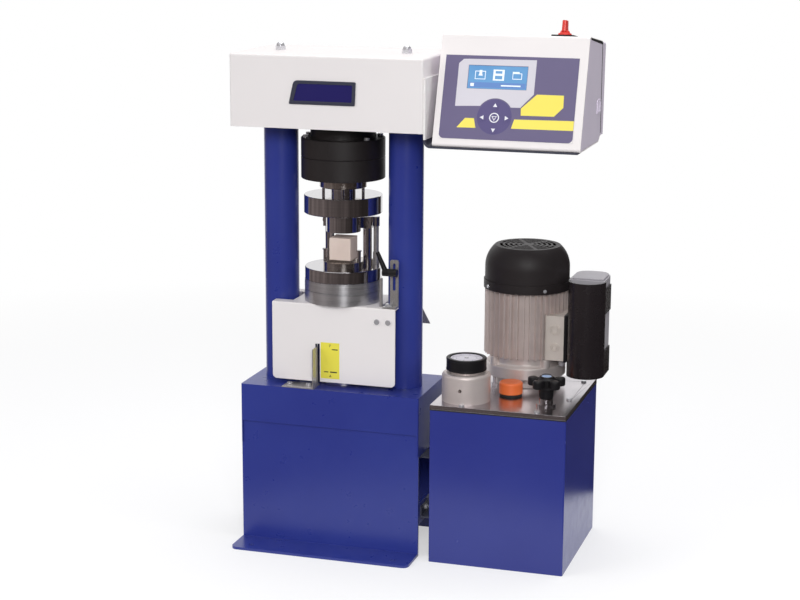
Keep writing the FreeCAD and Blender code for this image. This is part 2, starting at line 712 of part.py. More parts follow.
def cylinder_block():
    """The lower crosshead: ram bore with seal groove, column stud holes and oil port."""
    block = box(-S.block_half_length, S.block_half_length, -leg_back, leg_back,
                S.block_bottom, block_top)
    bore = rod(bore_radius, S.bore_bottom, block_top + 1)
    groove = rod(bore_radius + S.seal_width, S.seal_bottom, S.seal_bottom + S.seal_height)
    port = rod(S.port_radius, S.block_bottom - 1, S.bore_bottom + 1)
    studs = [rod(stud_hole, S.block_bottom - 1, block_top + 1, x=hand * S.column_offset)
             for hand in (-1, 1)]
    return cut(block, bore, groove, port, *studs)


node(cylinder_block(), "cylinder_block")

# Columns and crosshead

crosshead_top = S.crosshead_bottom + S.crosshead_height
column_top = crosshead_top + S.nut_height
column_bottom = S.block_bottom - S.nut_height


def column(hand):
    body = new_body(x=hand * S.column_offset)
    turn(body, [
        (ZERO, column_bottom), (S.stud_radius, column_bottom), (S.stud_radius, block_top),
        (S.column_radius, block_top), (S.column_radius, S.crosshead_bottom),
        (S.stud_radius, S.crosshead_bottom), (S.stud_radius, column_top), (ZERO, column_top)])
    return body


node(together(column(-1), column(1)), "columns")


def crosshead_block():
    deep = S.crosshead_half_depth
    block = box(-S.crosshead_half_length, S.crosshead_half_length, -deep, deep,
                S.crosshead_bottom, crosshead_top)
    studs = [rod(stud_hole, S.crosshead_bottom - 1, crosshead_top + 1, x=hand * S.column_offset)
             for hand in (-1, 1)]
    return cut(block, *studs)


node(crosshead_block(), "crosshead_block")

cover_under = S.cover_top - S.cover_sheet


def crosshead_cover():
    """A folded sheet box over the crosshead, open below."""
    wide = S.cover_half_width
    shell = box(-wide, wide, -S.cover_front, S.cover_back, S.cover_bottom, S.cover_top)
    top = S.cover_top.number

    def outer_edges(edge):
        return upright(edge) or all(abs(v.Z - top) < 0.01 for v in edge.Vertexes)
    shell = rounded(shell, S.cover_corner, outer_edges)
    room = box(-wide + S.cover_sheet, wide - S.cover_sheet, -S.cover_front + S.cover_sheet,
               S.cover_back - S.cover_sheet, S.cover_bottom - 1, cover_under)
    holes = [rod(S.cap_stud_radius + S.hole_gap, cover_under - 1, S.cover_top + 1,
                 x=hand * S.column_offset) for hand in (-1, 1)]
    return cut(shell, room, *holes)


node(crosshead_cover(), "crosshead_cover")

# Load cell, ball seat and upper platen

CELL_SCREW_ANGLES = (27.0, 87.0, 176.0, 208.5, 326.5)


def on_circle(radius, degrees):
    """A point on a circle about the load axis that follows its radius."""
    angle = math.radians(degrees)
    return radius * round(math.cos(angle), 6), radius * round(math.sin(angle), 6)


node(disc(S.cell_radius, S.cell_bottom, S.cell_seam, S.cell_edge), "load_cell_lower")


def load_cell_upper():
    body = new_body()
    turn(body, [
        (ZERO, S.cell_seam), (S.cell_radius, S.cell_seam), (S.cell_radius, S.cell_shoulder),
        (S.collar_radius, S.cell_shoulder), (S.collar_radius, S.crosshead_bottom),
        (ZERO, S.crosshead_bottom)])

    def rims(edge):
        low = ring_at(S.cell_radius, S.cell_seam)(edge)
        return low or ring_at(S.cell_radius, S.cell_shoulder)(edge)
    soften(body, S.cell_edge, rims, "PartDesign::Chamfer")
    return body


node(load_cell_upper(), "load_cell_upper")

ROD_ANGLES = (197.0, 20.0, 107.0, 287.0)
platen_top = S.platen_bottom + S.platen_thickness
socket_radius = S.ball_radius + S.running_gap


def ball_seat():
    """The seat disc with its spherical socket and the rods' clearance holes."""
    plate = disc(S.seat_radius, S.seat_bottom, S.cell_bottom, S.platen_edge)
    ball = doc.addObject("Part::Sphere", "Socket")
    bind(ball, "Radius", socket_radius)
    place(ball, ZERO, ZERO, S.platen_bottom)
    holes = []
    for degrees in ROD_ANGLES:
        x, y = on_circle(S.rod_circle, degrees)
        holes.append(rod(S.rod_radius + S.rod_play, S.seat_bottom - 1,
                         S.rod_top + S.rod_play, x=x, y=y))
    return cut(plate, ball, *holes)


node(ball_seat(), "ball_seat")


def upper_platen():
    """The upper platen, its neck, the ball end that turns in the seat, and its rods."""
    plate = disc(S.platen_radius, S.platen_bottom, platen_top, S.platen_edge)
    neck = rod(S.neck_radius, platen_top - 1, S.platen_bottom + S.ball_radius + 1)
    ball = doc.addObject("Part::Sphere", "Ball")
    bind(ball, "Radius", S.ball_radius)
    place(ball, ZERO, ZERO, S.platen_bottom)
    tip = doc.addObject("Part::MultiCommon", "BallEnd")
    tip.Shapes = [neck, ball]
    rods = []
    for degrees in ROD_ANGLES:
        x, y = on_circle(S.rod_circle, degrees)
        rods.append(rod(S.rod_radius, platen_top - 1, S.rod_top, x=x, y=y))
    return fuse(plate, tip, *rods)


node(upper_platen(), "upper_platen")

# Ram, drum, lower platen and ram cover

sheet_under = S.ram_cover_top - S.ram_cover_sheet
drum_top = S.ram_cover_top + S.drum_height
table = drum_top + S.lower_platen_thickness
ram_cover_bottom = S.hood_top + S.hood_to_cover


def ram_piston():
    body = new_body()
    socket = S.spigot_radius + S.running_gap
    turn(body, [
        (ZERO, S.ram_bottom), (S.ram_radius, S.ram_bottom), (S.ram_radius, sheet_under),
        (socket, sheet_under), (socket, sheet_under - S.spigot_depth),
        (ZERO, sheet_under - S.spigot_depth)])
    soften(body, S.cell_edge, ring_at(S.ram_radius, S.ram_bottom), "PartDesign::Chamfer")
    return body


node(ram_piston(), "ram_piston")


def ram_drum():
    """The drum on the ram, with its spigot and the fine groove round it."""
    body = new_body()
    groove = S.ram_cover_top + S.groove_rise
    inner = S.drum_radius - S.groove_size
    turn(body, [
        (ZERO, sheet_under - S.spigot_depth), (S.spigot_radius, sheet_under - S.spigot_depth),
        (S.spigot_radius, S.ram_cover_top), (S.drum_radius, S.ram_cover_top),
        (S.drum_radius, groove), (inner, groove + S.groove_size / 2),
        (S.drum_radius, groove + S.groove_size), (S.drum_radius, drum_top), (ZERO, drum_top)])
    return body


node(ram_drum(), "ram_drum")
node(disc(S.lower_platen_radius, drum_top, table, S.platen_edge), "lower_platen")


def ram_cover():
    """The cover that rides on the ram: front and rear panels under a waisted top."""
    wide, deep = S.ram_cover_half_width, S.ram_cover_half_depth
    waist, bar = S.ram_cover_waist, S.ram_cover_half_depth - S.ram_cover_bar
    body = new_body()
    top = [
        (-wide, -deep), (wide, -deep), (wide, -bar), (waist, -bar), (waist, bar), (wide, bar),
        (wide, deep), (-wide, deep), (-wide, bar), (-waist, bar), (-waist, -bar), (-wide, -bar)]
    pad(body, outline(body, "XY_Plane", top, lift=sheet_under), S.ram_cover_sheet)
    slot = [
        (-S.slot_middle - S.slot_width / 2, ram_cover_bottom),
        (-S.slot_middle - S.slot_width / 2, S.slot_top),
        (-S.slot_middle + S.slot_width / 2, S.slot_top),
        (-S.slot_middle + S.slot_width / 2, ram_cover_bottom)]
    front = [(-wide, ram_cover_bottom)] + slot
    front += [(wide, ram_cover_bottom), (wide, S.ram_cover_top), (-wide, S.ram_cover_top)]
    rear = [(-wide, ram_cover_bottom), (wide, ram_cover_bottom),
            (wide, S.ram_cover_top), (-wide, S.ram_cover_top)]
    pad(body, outline(body, "XZ_Plane", front, lift=deep - S.ram_cover_sheet), S.ram_cover_sheet)
    pad(body, outline(body, "XZ_Plane", rear, lift=-deep), S.ram_cover_sheet)
    pocket(body, outline(body, "XY_Plane", [], lift=S.ram_cover_top + 1,
                         rounds=[(ZERO, ZERO, S.spigot_radius + S.hole_gap)]),
           S.ram_cover_sheet + 2)
    low, side = ram_cover_bottom.number, wide.number

    def lower_corners(edge):
        ends = edge.Vertexes
        if len(ends) != 2:
            return False
        at_corner = all(abs(abs(v.X) - side) < 0.01 and abs(v.Z - low) < 0.01 for v in ends)
        return at_corner and abs(ends[0].Y - ends[1].Y) > 0.1
    soften(body, S.ram_cover_corner, lower_corners)
    high, out = S.ram_cover_top.number, deep.number

    def bends(edge):
        ends = edge.Vertexes
        if len(ends) != 2:
            return False
        return all(abs(v.Z - high) < 0.01 and abs(abs(v.Y) - out) < 0.01 for v in ends)
    soften(body, S.ram_cover_sheet, bends)
    return body


node(ram_cover(), "ram_cover")

# Screws of the ram cover: two in the front, one in the foot of the stop plate
COVER_SCREWS = ((84.6, -25.0), (106.0, -25.0))
foot_screw_x = S.stop_foot_left + S.stop_foot_depth / 2
stop_front = S.stop_plate_back + S.stop_plate_sheet
foot_screw_y = -(stop_front + S.stop_foot_depth / 2)
stop_foot_top = S.ram_cover_top + S.stop_plate_sheet


def cover_screws():
    heads = [rod(S.screw_head_radius, -S.ram_cover_half_depth - S.screw_radius,
                 -S.ram_cover_half_depth, x=x, y=S.ram_cover_top + drop, along="y")
             for x, drop in COVER_SCREWS]
    nut = hexagon(S.screw_head_radius + 1, stop_foot_top, stop_foot_top + S.screw_head_height,
                  x=foot_screw_x, y=foot_screw_y)
    return together(nut, *heads)


node(cover_screws(), "cover_screws")

# Stop plate with its post, and the rear wing


def stop_plate():
    """An angle with a long slot, bent from sheet, on the ram cover's front bar."""
    left = S.stop_plate_left
    right = left + S.stop_plate_width
    middle = left + S.stop_plate_width / 2
    top = S.ram_cover_top + S.stop_plate_height
    plate = box(left, right, -stop_front, -S.stop_plate_back, S.ram_cover_top, top)
    plate = rounded(plate, S.stop_plate_width / 4, lambda edge: abs(edge.CenterOfMass.z - top.number)
                    < 0.01 and abs(edge.Length - S.stop_plate_sheet.number) < 0.01)
    foot = box(S.stop_foot_left, right, -stop_front - S.stop_foot_depth, -S.stop_plate_back,
               S.ram_cover_top, stop_foot_top)
    half = S.stop_slot_width / 2
    low = S.ram_cover_top + S.stop_slot_rise
    high = low + S.stop_slot_length
    slot = box(middle - half, middle + half, -stop_front - 1, -S.stop_plate_back + 1,
               low + half, high - half)
    ends = [rod(half, -stop_front - 1, -S.stop_plate_back + 1, x=middle, y=z, along="y")
            for z in (low + half, high - half)]
    return cut(fuse(plate, foot), slot, *ends)


def stop_post():
    post = rod(S.stop_post_radius, S.ram_cover_top, S.ram_cover_top + S.stop_post_height,
               x=S.stop_post_x, y=-S.stop_post_y)
    return post


def rear_wing():
    body = new_body()
    top = S.ram_cover_top
    corners = [(S.wing_inner, top - S.wing_height), (S.wing_outer, top - S.wing_height),
               (S.wing_top_outer, top), (S.wing_inner, top)]
    back = S.ram_cover_half_depth + S.pointer_sheet
    pad(body, outline(body, "XZ_Plane", corners, lift=-back), S.pointer_sheet)
    return body


node(together(stop_plate(), stop_post(), rear_wing()), "stop_bracket")

clamp_height = S.ram_cover_top + S.clamp_rise


def stop_carriage():
    """The clamp's round block and the tongue that slides in the slot."""
    right = S.stop_plate_left + S.stop_plate_width
    middle = S.stop_plate_left + S.stop_plate_width / 2
    block = rod(S.clamp_radius, S.clamp_split, right, x=-S.clamp_y, y=clamp_height, along="x")
    half = S.stop_slot_width / 2 - S.sheet_gap
    tongue = box(middle - half, middle + half, -S.clamp_y, -S.stop_plate_back,
                 clamp_height - half * 2, clamp_height + half * 2)
    return fuse(block, tongue)


node(stop_carriage(), "stop_carriage")


def clamp_lever():
    """The lever's hub and its handle, leaning to the left."""
    hub = rod(S.clamp_radius, S.clamp_left, S.clamp_split, x=-S.clamp_y, y=clamp_height, along="x")
    middle = (S.clamp_left + S.clamp_split) / 2
    handle = doc.addObject("Part::Cone", "Handle")
    bind(handle, "Radius1", S.clamp_radius * 0.72)
    bind(handle, "Radius2", S.clamp_radius * 0.5)
    bind(handle, "Height", S.lever_length)
    place(handle, middle, -S.clamp_y, clamp_height, (0, 1, 0), -S.lever_lean.number)
    bind(handle, "Placement.Rotation.Angle", S.lever_lean)
    handle.Placement.Rotation.Axis = FreeCAD.Vector(0, -1, 0)
    return fuse(hub, handle)


node(clamp_lever(), "clamp_lever")

# Jig for the mortar cube

jig_plate = table + S.jig_base_height
anvil_top = jig_plate + S.anvil_height


def jig_base():
    plate = rod(S.jig_base_radius, table, jig_plate)
    bosses = [rod(S.guide_boss, table, jig_plate, x=hand * S.guide_offset, y=S.guide_setback)
              for hand in (-1, 1)]
    bridge = box(-S.guide_offset, S.guide_offset, S.guide_setback - S.guide_boss,
                 S.guide_setback + S.guide_boss, table, jig_plate)
    anvil = box(-S.anvil_half, S.anvil_half, -S.anvil_half, S.anvil_half, jig_plate, anvil_top)
    holes = [rod(S.guide_radius, table - 1, jig_plate + 1, x=hand * S.guide_offset,
                 y=S.guide_setback) for hand in (-1, 1)]
    return cut(fuse(plate, bridge, anvil, *bosses), *holes)


node(jig_base(), "jig_base")


def jig_posts():
    """Two guide columns behind and two headed pins in front."""
    pieces = []
    for hand in (-1, 1):
        pieces.append(rod(S.guide_radius, table, S.guide_top, x=hand * S.guide_offset,
                          y=S.guide_setback))
        body = new_body(x=hand * S.pin_offset, y=-S.pin_setback)
        neck = jig_plate + S.pin_height
        turn(body, [
            (ZERO, jig_plate), (S.pin_radius, jig_plate), (S.pin_radius, neck),
            (S.pin_head_radius, neck), (S.pin_head_radius, neck + S.pin_head_height),
            (ZERO, neck + S.pin_head_height)])
        pieces.append(body)
    return together(*pieces)


node(jig_posts(), "jig_posts")


def spring_tube():
    body = new_body(x=S.spring_offset, y=S.guide_setback)
    socket = table + S.spring_socket_height
    turn(body, [
        (ZERO, table), (S.spring_socket_radius, table), (S.spring_socket_radius, socket),
        (S.spring_tube_radius, socket), (S.spring_tube_radius, S.spring_tube_top),
        (ZERO, S.spring_tube_top)])
    return body


node(spring_tube(), "jig_spring_tube")


def jig_plunger():
    """The plunger, the yoke that guides it and the cap over the spring tube."""
    head = rod(S.plunger_radius, S.plunger_bottom, S.plunger_top)
    yoke = box(-S.yoke_half_width, S.yoke_half_width, S.yoke_front, S.yoke_back,
               S.yoke_bottom, S.yoke_top)
    cap = rod(S.spring_cap_radius, S.spring_cap_bottom, S.yoke_top, x=S.spring_offset,
              y=S.guide_setback)
    arm = box(S.guide_offset, S.spring_offset, S.guide_setback - S.spring_tube_radius,
              S.guide_setback + S.spring_tube_radius, S.spring_cap_bottom + S.spring_cap_radius,
              S.yoke_top)
    guides = [rod(S.guide_radius + S.running_gap, S.yoke_bottom - 1, S.yoke_top + 1,
                  x=hand * S.guide_offset, y=S.guide_setback) for hand in (-1, 1)]
    inside = rod(S.spring_tube_radius + S.hole_gap, S.spring_cap_bottom - 1,
                 S.yoke_top - S.pin_head_height, x=S.spring_offset, y=S.guide_setback)
    middle = (S.yoke_bottom + S.yoke_top) / 2
    front = rod(S.pin_head_radius, S.yoke_front - S.pin_head_height, S.yoke_front,
                x=S.guide_offset, y=middle, along="y")
    side = rod(S.pin_head_radius, -S.yoke_half_width - S.pin_head_height, -S.yoke_half_width,
               x=S.guide_setback, y=middle, along="x")
    return together(cut(fuse(head, yoke, cap, arm), inside, *guides), front, side)


node(jig_plunger(), "jig_plunger")
cube_half = S.cube_side / 2
cube_bottom = anvil_top + S.sheet_gap
node(box(-cube_half, cube_half, -cube_half, cube_half, cube_bottom, cube_bottom + S.cube_side),
     "mortar_cube")

# Stroke pointer on the base


def stroke_pointer():
    """A foot on the hood, bent up into a blade that stands in the stroke slot."""
    blade_right = -S.slot_middle + S.pointer_sheet / 2
    blade_left = blade_right - S.pointer_sheet
    front = -S.hood_half_depth
    blade = box(blade_left, blade_right, front, front + S.pointer_depth, S.hood_top,
                S.hood_top + S.pointer_height)
    foot = box(blade_right - S.pointer_foot_length, blade_right, front,
               front + S.pointer_foot_depth, S.hood_top, S.hood_top + S.pointer_sheet)
    return fuse(blade, foot)


node(stroke_pointer(), "stroke_pointer")

# Pump unit: tank, gasket and lid

tank_right = S.tank_left + S.tank_width
tank_back = S.tank_depth - S.tank_front
lid_bottom = S.tank_height + S.gasket_height
lid_top = lid_bottom + S.lid_height
LID_SCREW_DEPTHS = (0.4, 0.87)


def lid_screw_spots():
    """Two screws on each side of the lid and two along its front."""
    spots = []
    for share in LID_SCREW_DEPTHS:
        y = -S.tank_front + S.tank_depth * share
        spots.append((S.tank_left + S.lid_screw_inset, y))
        spots.append((tank_right - S.lid_screw_inset, y))
    front = -S.tank_front + S.lid_screw_front
    spots.append((S.regulator_x + S.screw_head_radius, front))
    spots.append((S.valve_x - S.screw_head_radius, front))
    return spots


def tank_shell():
    """The tank: a folded box with an inner rim that takes the lid screws."""
    wall, rim = S.tank_wall, S.tank_rim
    outer = box(S.tank_left, tank_right, -S.tank_front, tank_back, ZERO, S.tank_height)
    outer = rounded(outer, wall, upright)
    room = box(S.tank_left + wall, tank_right - wall, -S.tank_front + wall, tank_back - wall,
               wall, S.tank_height - wall)
    mouth = box(S.tank_left + rim, tank_right - rim, -S.tank_front + rim, tank_back - rim,
                S.tank_height - wall - 1, S.tank_height + 1)
    holes = [rod(S.screw_radius + S.hole_gap, S.tank_height - wall - 1, S.tank_height + 1, x=x, y=y)
             for x, y in lid_screw_spots()]
    return cut(outer, room, mouth, *holes)


node(tank_shell(), "tank_shell")


def seals():
    """The tank gasket, the filler gasket and the ram seal."""
    rim = S.tank_rim
    sheet = box(S.tank_left, tank_right, -S.tank_front, tank_back, S.tank_height, lid_bottom)
    mouth = box(S.tank_left + rim, tank_right - rim, -S.tank_front + rim, tank_back - rim,
                S.tank_height - 1, lid_bottom + 1)
    holes = [rod(S.screw_radius + S.hole_gap, S.tank_height - 1, lid_bottom + 1, x=x, y=y)
             for x, y in lid_screw_spots()]
    gasket = cut(sheet, mouth, *holes)
    filler = cut(rod(S.filler_gasket_radius, lid_top, lid_top + S.filler_gasket_height,
                     x=S.filler_x, y=S.filler_y),
                 rod(S.filler_neck_radius, lid_top - 1, lid_top + S.filler_gasket_height + 1,
                     x=S.filler_x, y=S.filler_y))
    top = S.seal_bottom + S.seal_height
    ram = cut(rod(bore_radius + S.seal_width, S.seal_bottom, top),
              rod(bore_radius, S.seal_bottom - 1, top + 1))
    return together(gasket, filler, ram)


node(seals(), "seals")


def tank_lid():
    """The lid plate with the filler neck and the openings for pump and screws."""
    plate = box(S.tank_left, tank_right, -S.tank_front, tank_back, lid_bottom, lid_top)
    neck = rod(S.filler_neck_radius, lid_top - 1, lid_top + S.filler_neck_height,
               x=S.filler_x, y=S.filler_y)
    bore = rod(S.filler_bore, lid_bottom - 1, lid_top + S.filler_neck_height + 1,
               x=S.filler_x, y=S.filler_y)
    shaft = rod(S.shaft_radius * 2, lid_bottom - 1, lid_top + 1, x=S.motor_x, y=S.motor_y)
    holes = [rod(S.screw_radius + S.hole_gap, lid_bottom - 1, lid_top + 1, x=x, y=y)
             for x, y in lid_screw_spots()]
    return cut(fuse(plate, neck), bore, shaft, *holes)


node(tank_lid(), "tank_lid")

# Regulator, filler cap and release valve


def regulator_body():
    body = new_body(x=S.regulator_x, y=-S.regulator_y, z=lid_top)
    high = S.dial_knob_rise
    turn(body, [
        (ZERO, ZERO), (S.regulator_radius, ZERO), (S.regulator_radius, S.regulator_height),
        (S.dial_face_radius, S.regulator_height), (S.dial_face_radius, high),
        (S.spindle_radius, high), (S.spindle_radius, high + S.dial_knob_height / 2),
        (ZERO, high + S.dial_knob_height / 2)])
    soften(body, S.regulator_edge, ring_at(S.regulator_radius, S.regulator_height))
    spot = [(ZERO, S.regulator_hole_rise, S.regulator_hole_radius)]
    hole = outline(body, "XZ_Plane", [], lift=S.regulator_radius + 1, rounds=spot)
    pocket(body, hole, S.regulator_radius / 3)
    return body


node(regulator_body(), "regulator_body")


def regulator_knob():
    """The fluted knob, with the recess for its face."""
    low = S.dial_knob_rise + S.sheet_gap
    high = low + S.dial_knob_height
    body = new_body(x=S.regulator_x, y=-S.regulator_y, z=lid_top)
    bore = S.spindle_radius + S.running_gap
    roof = S.dial_knob_rise + S.dial_knob_height / 2 + S.sheet_gap
    turn(body, [
        (bore, low), (S.dial_knob_radius, low), (S.dial_knob_radius, high),
        (S.dial_face_radius, high), (S.dial_face_radius, high - S.dial_face_depth),
        (ZERO, high - S.dial_face_depth), (ZERO, roof), (bore, roof)])
    spot = [(S.dial_knob_radius, ZERO, S.flute_radius)]
    flute = pocket(body, outline(body, "XY_Plane", [], lift=high - S.dial_face_depth, rounds=spot),
                   S.dial_knob_height)
    around(body, flute, S.flute_count)
    return body


node(regulator_knob(), "regulator_knob")


def filler_cap():
    low = lid_top + S.filler_gasket_height
    high = low + S.filler_cap_height
    inner = S.filler_neck_radius + S.hole_gap
    roof = lid_top + S.filler_neck_height + S.hole_gap
    body = new_body(x=S.filler_x, y=S.filler_y)
    turn(body, [(inner, low), (S.filler_cap_radius, low), (S.filler_cap_radius, high),
                (ZERO, high), (ZERO, roof), (inner, roof)])
    soften(body, S.filler_cap_edge, ring_at(S.filler_cap_radius, high))
    return body


node(filler_cap(), "filler_cap")


def valve_body():
    body = new_body(x=S.valve_x, y=-S.valve_y, z=lid_top)
    turn(body, [
        (ZERO, ZERO), (S.valve_flange_radius, ZERO), (S.valve_flange_radius, S.valve_flange_height),
        (S.valve_neck_radius, S.valve_flange_height), (S.valve_neck_radius, S.valve_neck_height),
        (S.valve_spindle_radius, S.valve_neck_height),
        (S.valve_spindle_radius, S.valve_spindle_top), (ZERO, S.valve_spindle_top)])
    return body


node(valve_body(), "valve_body")


def star_knob():
    """A five-lobed grip on the release valve's spindle."""
    body = new_body(x=S.valve_x, y=-S.valve_y, z=lid_top)
    low = S.star_rise
    high = low + S.star_height
    bore = S.valve_spindle_radius + S.running_gap
    roof = S.valve_spindle_top + S.sheet_gap
    turn(body, [
        (bore, low), (S.star_hub_radius, low), (S.star_hub_top_radius, high - S.star_lobe_height),
        (S.star_hub_top_radius, high), (S.star_cap_radius, high),
        (S.star_cap_radius, high + S.star_cap_height), (ZERO, high + S.star_cap_height),
        (ZERO, roof), (bore, roof)])
    reach = S.star_lobe_reach - S.star_lobe_radius
    neck = S.star_lobe_radius * 0.7
    arm = pad(body, outline(body, "XY_Plane", [
        (-neck, S.star_hub_top_radius / 2), (neck, S.star_hub_top_radius / 2), (neck, reach),
        (-neck, reach)], lift=high - S.star_lobe_height), S.star_lobe_height)
    around(body, arm, S.star_lobes)
    lobe = pad(body, outline(body, "XY_Plane", [], lift=high - S.star_lobe_height,
                             rounds=[(ZERO, reach, S.star_lobe_radius)]), S.star_lobe_height)
    around(body, lobe, S.star_lobes)
    return body


node(star_knob(), "star_knob")

# Motor on the tank lid

housing_bottom = lid_top + S.bell_height
housing_top = housing_bottom + S.housing_height


def motor_bell():
    """The motor's lower end shield with four lugs, on its foot."""
    shaft = S.shaft_radius + S.shaft_gap
    body = new_body(x=S.motor_x, y=S.motor_y, z=lid_top)
    turn(body, [
        (shaft, ZERO), (S.bell_foot_radius, ZERO), (S.bell_foot_radius, S.bell_foot_height),
        (S.bell_radius, S.bell_foot_height), (S.bell_radius, S.bell_height),
        (shaft, S.bell_height)])
    diagonal = S.lug_circle * round(math.sqrt(0.5), 6)
    lug = pad(body, outline(body, "XY_Plane", [], lift=S.bell_height - S.lug_height,
                            rounds=[(diagonal, diagonal, S.lug_radius)]), S.lug_height)
    around(body, lug, 4)
    hole = pocket(body, outline(body, "XY_Plane", [], lift=S.bell_height,
                                rounds=[(diagonal, diagonal, S.screw_radius + S.hole_gap)]),
                  S.lug_height)
    around(body, hole, 4)
    return body


node(motor_bell(), "motor_bell")


def motor_housing():
    """The finned housing, cut away where the terminal box sits."""
    shaft = S.shaft_radius + S.shaft_gap
    body = new_body(x=S.motor_x, y=S.motor_y, z=housing_bottom)
    high = S.housing_height
    turn(body, [
        (S.motor_bore_radius, ZERO), (S.motor_core_radius, ZERO), (S.motor_core_radius, high),
        (shaft, high), (shaft, high - S.end_shield), (S.motor_bore_radius, high - S.end_shield)])
    half = S.fin_width / 2
    root = S.motor_core_radius - 1
    fin = pad(body, outline(body, "XY_Plane", [(root, -half), (S.fin_radius, -half / 2),
                                               (S.fin_radius, half / 2), (root, half)]), high)
    around(body, fin, S.fin_count)
    seat = terminal_seat(S.sheet_gap)
    core = rod(S.motor_core_radius, housing_bottom - 1, housing_top + 1, x=S.motor_x, y=S.motor_y)
    return cut(body, cut(seat, core))


def terminal_seat(room):
    """The block of space that the terminal box takes, with room all round."""
    back = S.terminal_front + S.terminal_width
    return box(S.terminal_left - room, S.terminal_right, S.terminal_front - room, back + room,
               S.terminal_bottom - 1, S.terminal_bottom + S.terminal_height + room)


node(motor_housing(), "motor_housing")
rotor_bottom = housing_bottom + S.rotor_rise
rotor_top = rotor_bottom + S.rotor_height
node(cut(rod(S.motor_bore_radius, rotor_bottom, rotor_top, x=S.motor_x, y=S.motor_y),
         rod(S.stator_bore, rotor_bottom - 1, rotor_top + 1, x=S.motor_x, y=S.motor_y)),
     "motor_stator")
pump_bottom = lid_bottom - S.pump_flange_height - S.pump_height
shaft_bottom = pump_bottom + S.pump_height / 2
fan_bottom = housing_bottom + S.fan_rise
fan_top = fan_bottom + S.fan_height


def motor_rotor():
    """The rotor on its shaft, which runs down into the pump and up to the fan."""
    body = new_body(x=S.motor_x, y=S.motor_y)
    hub = S.shaft_radius * 2
    plate = fan_bottom + S.fan_blade
    turn(body, [
        (ZERO, shaft_bottom), (S.shaft_radius, shaft_bottom), (S.shaft_radius, rotor_bottom),
        (S.rotor_radius, rotor_bottom), (S.rotor_radius, rotor_top), (S.shaft_radius, rotor_top),
        (S.shaft_radius, fan_bottom), (S.fan_radius, fan_bottom), (S.fan_radius, plate),
        (hub, plate), (hub, fan_top), (ZERO, fan_top)])
    half = S.fan_blade / 2
    corners = [(hub - 1, -half), (S.fan_radius, -half), (S.fan_radius, half), (hub - 1, half)]
    blade = pad(body, outline(body, "XY_Plane", corners, lift=fan_bottom), S.fan_height)
    around(body, blade, S.fan_blades)
    return body


node(motor_rotor(), "motor_rotor")


def fan_cowl():
    """The domed cowl, turned from an arc, with rings of slots in its flat top."""
    value = {name: getattr(S, name).number for name in (
        "cowl_radius", "cowl_sheet", "cowl_ring_radius", "cowl_ring_height", "cowl_straight",
        "cowl_dome", "cowl_top_radius", "cowl_ring_rise")}
    sheet = value["cowl_sheet"]
    low = housing_bottom.number + value["cowl_ring_rise"]
    ring_top = low + value["cowl_ring_height"]
    bend = ring_top + value["cowl_straight"]
    high = bend + value["cowl_dome"]
    inset = value["cowl_radius"] - value["cowl_top_radius"]
    bow = (inset ** 2 + value["cowl_dome"] ** 2) / (2 * inset)

    def wall(radius, roof, foot, foot_radius, ledge):
        """A turned half profile with its dome as an arc."""
        centre = radius - bow
        middle_z = (bend + roof) / 2
        middle_r = centre + math.sqrt(bow ** 2 - (middle_z - bend) ** 2)
        top_r = centre + math.sqrt(bow ** 2 - (roof - bend) ** 2)
        at = FreeCAD.Vector
        spots = [at(0, 0, foot), at(foot_radius, 0, foot), at(foot_radius, 0, ledge),
                 at(radius, 0, ledge), at(radius, 0, bend)]
        edges = [Part.makeLine(a, b) for a, b in zip(spots, spots[1:])]
        edges.append(Part.Arc(spots[-1], at(middle_r, 0, middle_z), at(top_r, 0, roof)).toShape())
        edges.append(Part.makeLine(at(top_r, 0, roof), at(0, 0, roof)))
        edges.append(Part.makeLine(at(0, 0, roof), spots[0]))
        face = Part.Face(Part.Wire(edges))
        return face.revolve(at(0, 0, 0), at(0, 0, 1), 360)

    outer = wall(value["cowl_radius"], high, low, value["cowl_ring_radius"], ring_top)
    clear = S.fin_radius.number + S.sheet_gap.number
    inner = wall(value["cowl_radius"] - sheet, high - sheet, low - 1, clear,
                 housing_top.number + 1)
    shape = outer.cut(inner)
    pitch, slot = S.grille_pitch.number, S.grille_slot.number
    spoke = S.grille_spoke.number
    for ring in range(1, int(S.grille_rings.number) + 1):
        middle = pitch * (ring + 0.5)
        hollow = Part.makeCylinder(middle + slot / 2, 4 * sheet)
        hollow = hollow.cut(Part.makeCylinder(middle - slot / 2, 4 * sheet))
        for turned in (0, 60, 120):
            bar = Part.makeBox(4 * middle, spoke, 4 * sheet,
                               FreeCAD.Vector(-2 * middle, -spoke / 2, 0))
            bar.rotate(FreeCAD.Vector(0, 0, 0), FreeCAD.Vector(0, 0, 1), turned)
            hollow = hollow.cut(bar)
        hollow.translate(FreeCAD.Vector(0, 0, high - 2 * sheet))
        shape = shape.cut(hollow)
    thing = doc.addObject("Part::Feature", "Cowl")
    thing.Shape = shape
    return place(thing, S.motor_x, S.motor_y, ZERO)


node(fan_cowl(), "fan_cowl")


def terminal_box():
    """The terminal box on the housing's side, with two knockouts in front."""
    back = S.terminal_front + S.terminal_width
    high = S.terminal_bottom + S.terminal_height
    body = box(S.terminal_left, S.terminal_right, S.terminal_front, back, S.terminal_bottom, high)
    core = rod(S.motor_core_radius, S.terminal_bottom - 1, high + 1, x=S.motor_x, y=S.motor_y)
    middle = (S.terminal_left + S.terminal_right) / 2 + S.terminal_lid_edge
    face = S.terminal_front
    upper = rod(S.knockout_radius, face - S.knockout_raise, face + 1, x=middle,
                y=S.terminal_bottom + S.terminal_height * 0.69, along="y")
    lower = rod(S.knockout_small, face - S.knockout_raise, face + 1, x=middle,
                y=S.terminal_bottom + S.terminal_height * 0.3, along="y")
    return fuse(cut(body, core), upper, lower)


node(terminal_box(), "terminal_box")
lid_face = S.terminal_right + S.terminal_lid_sheet


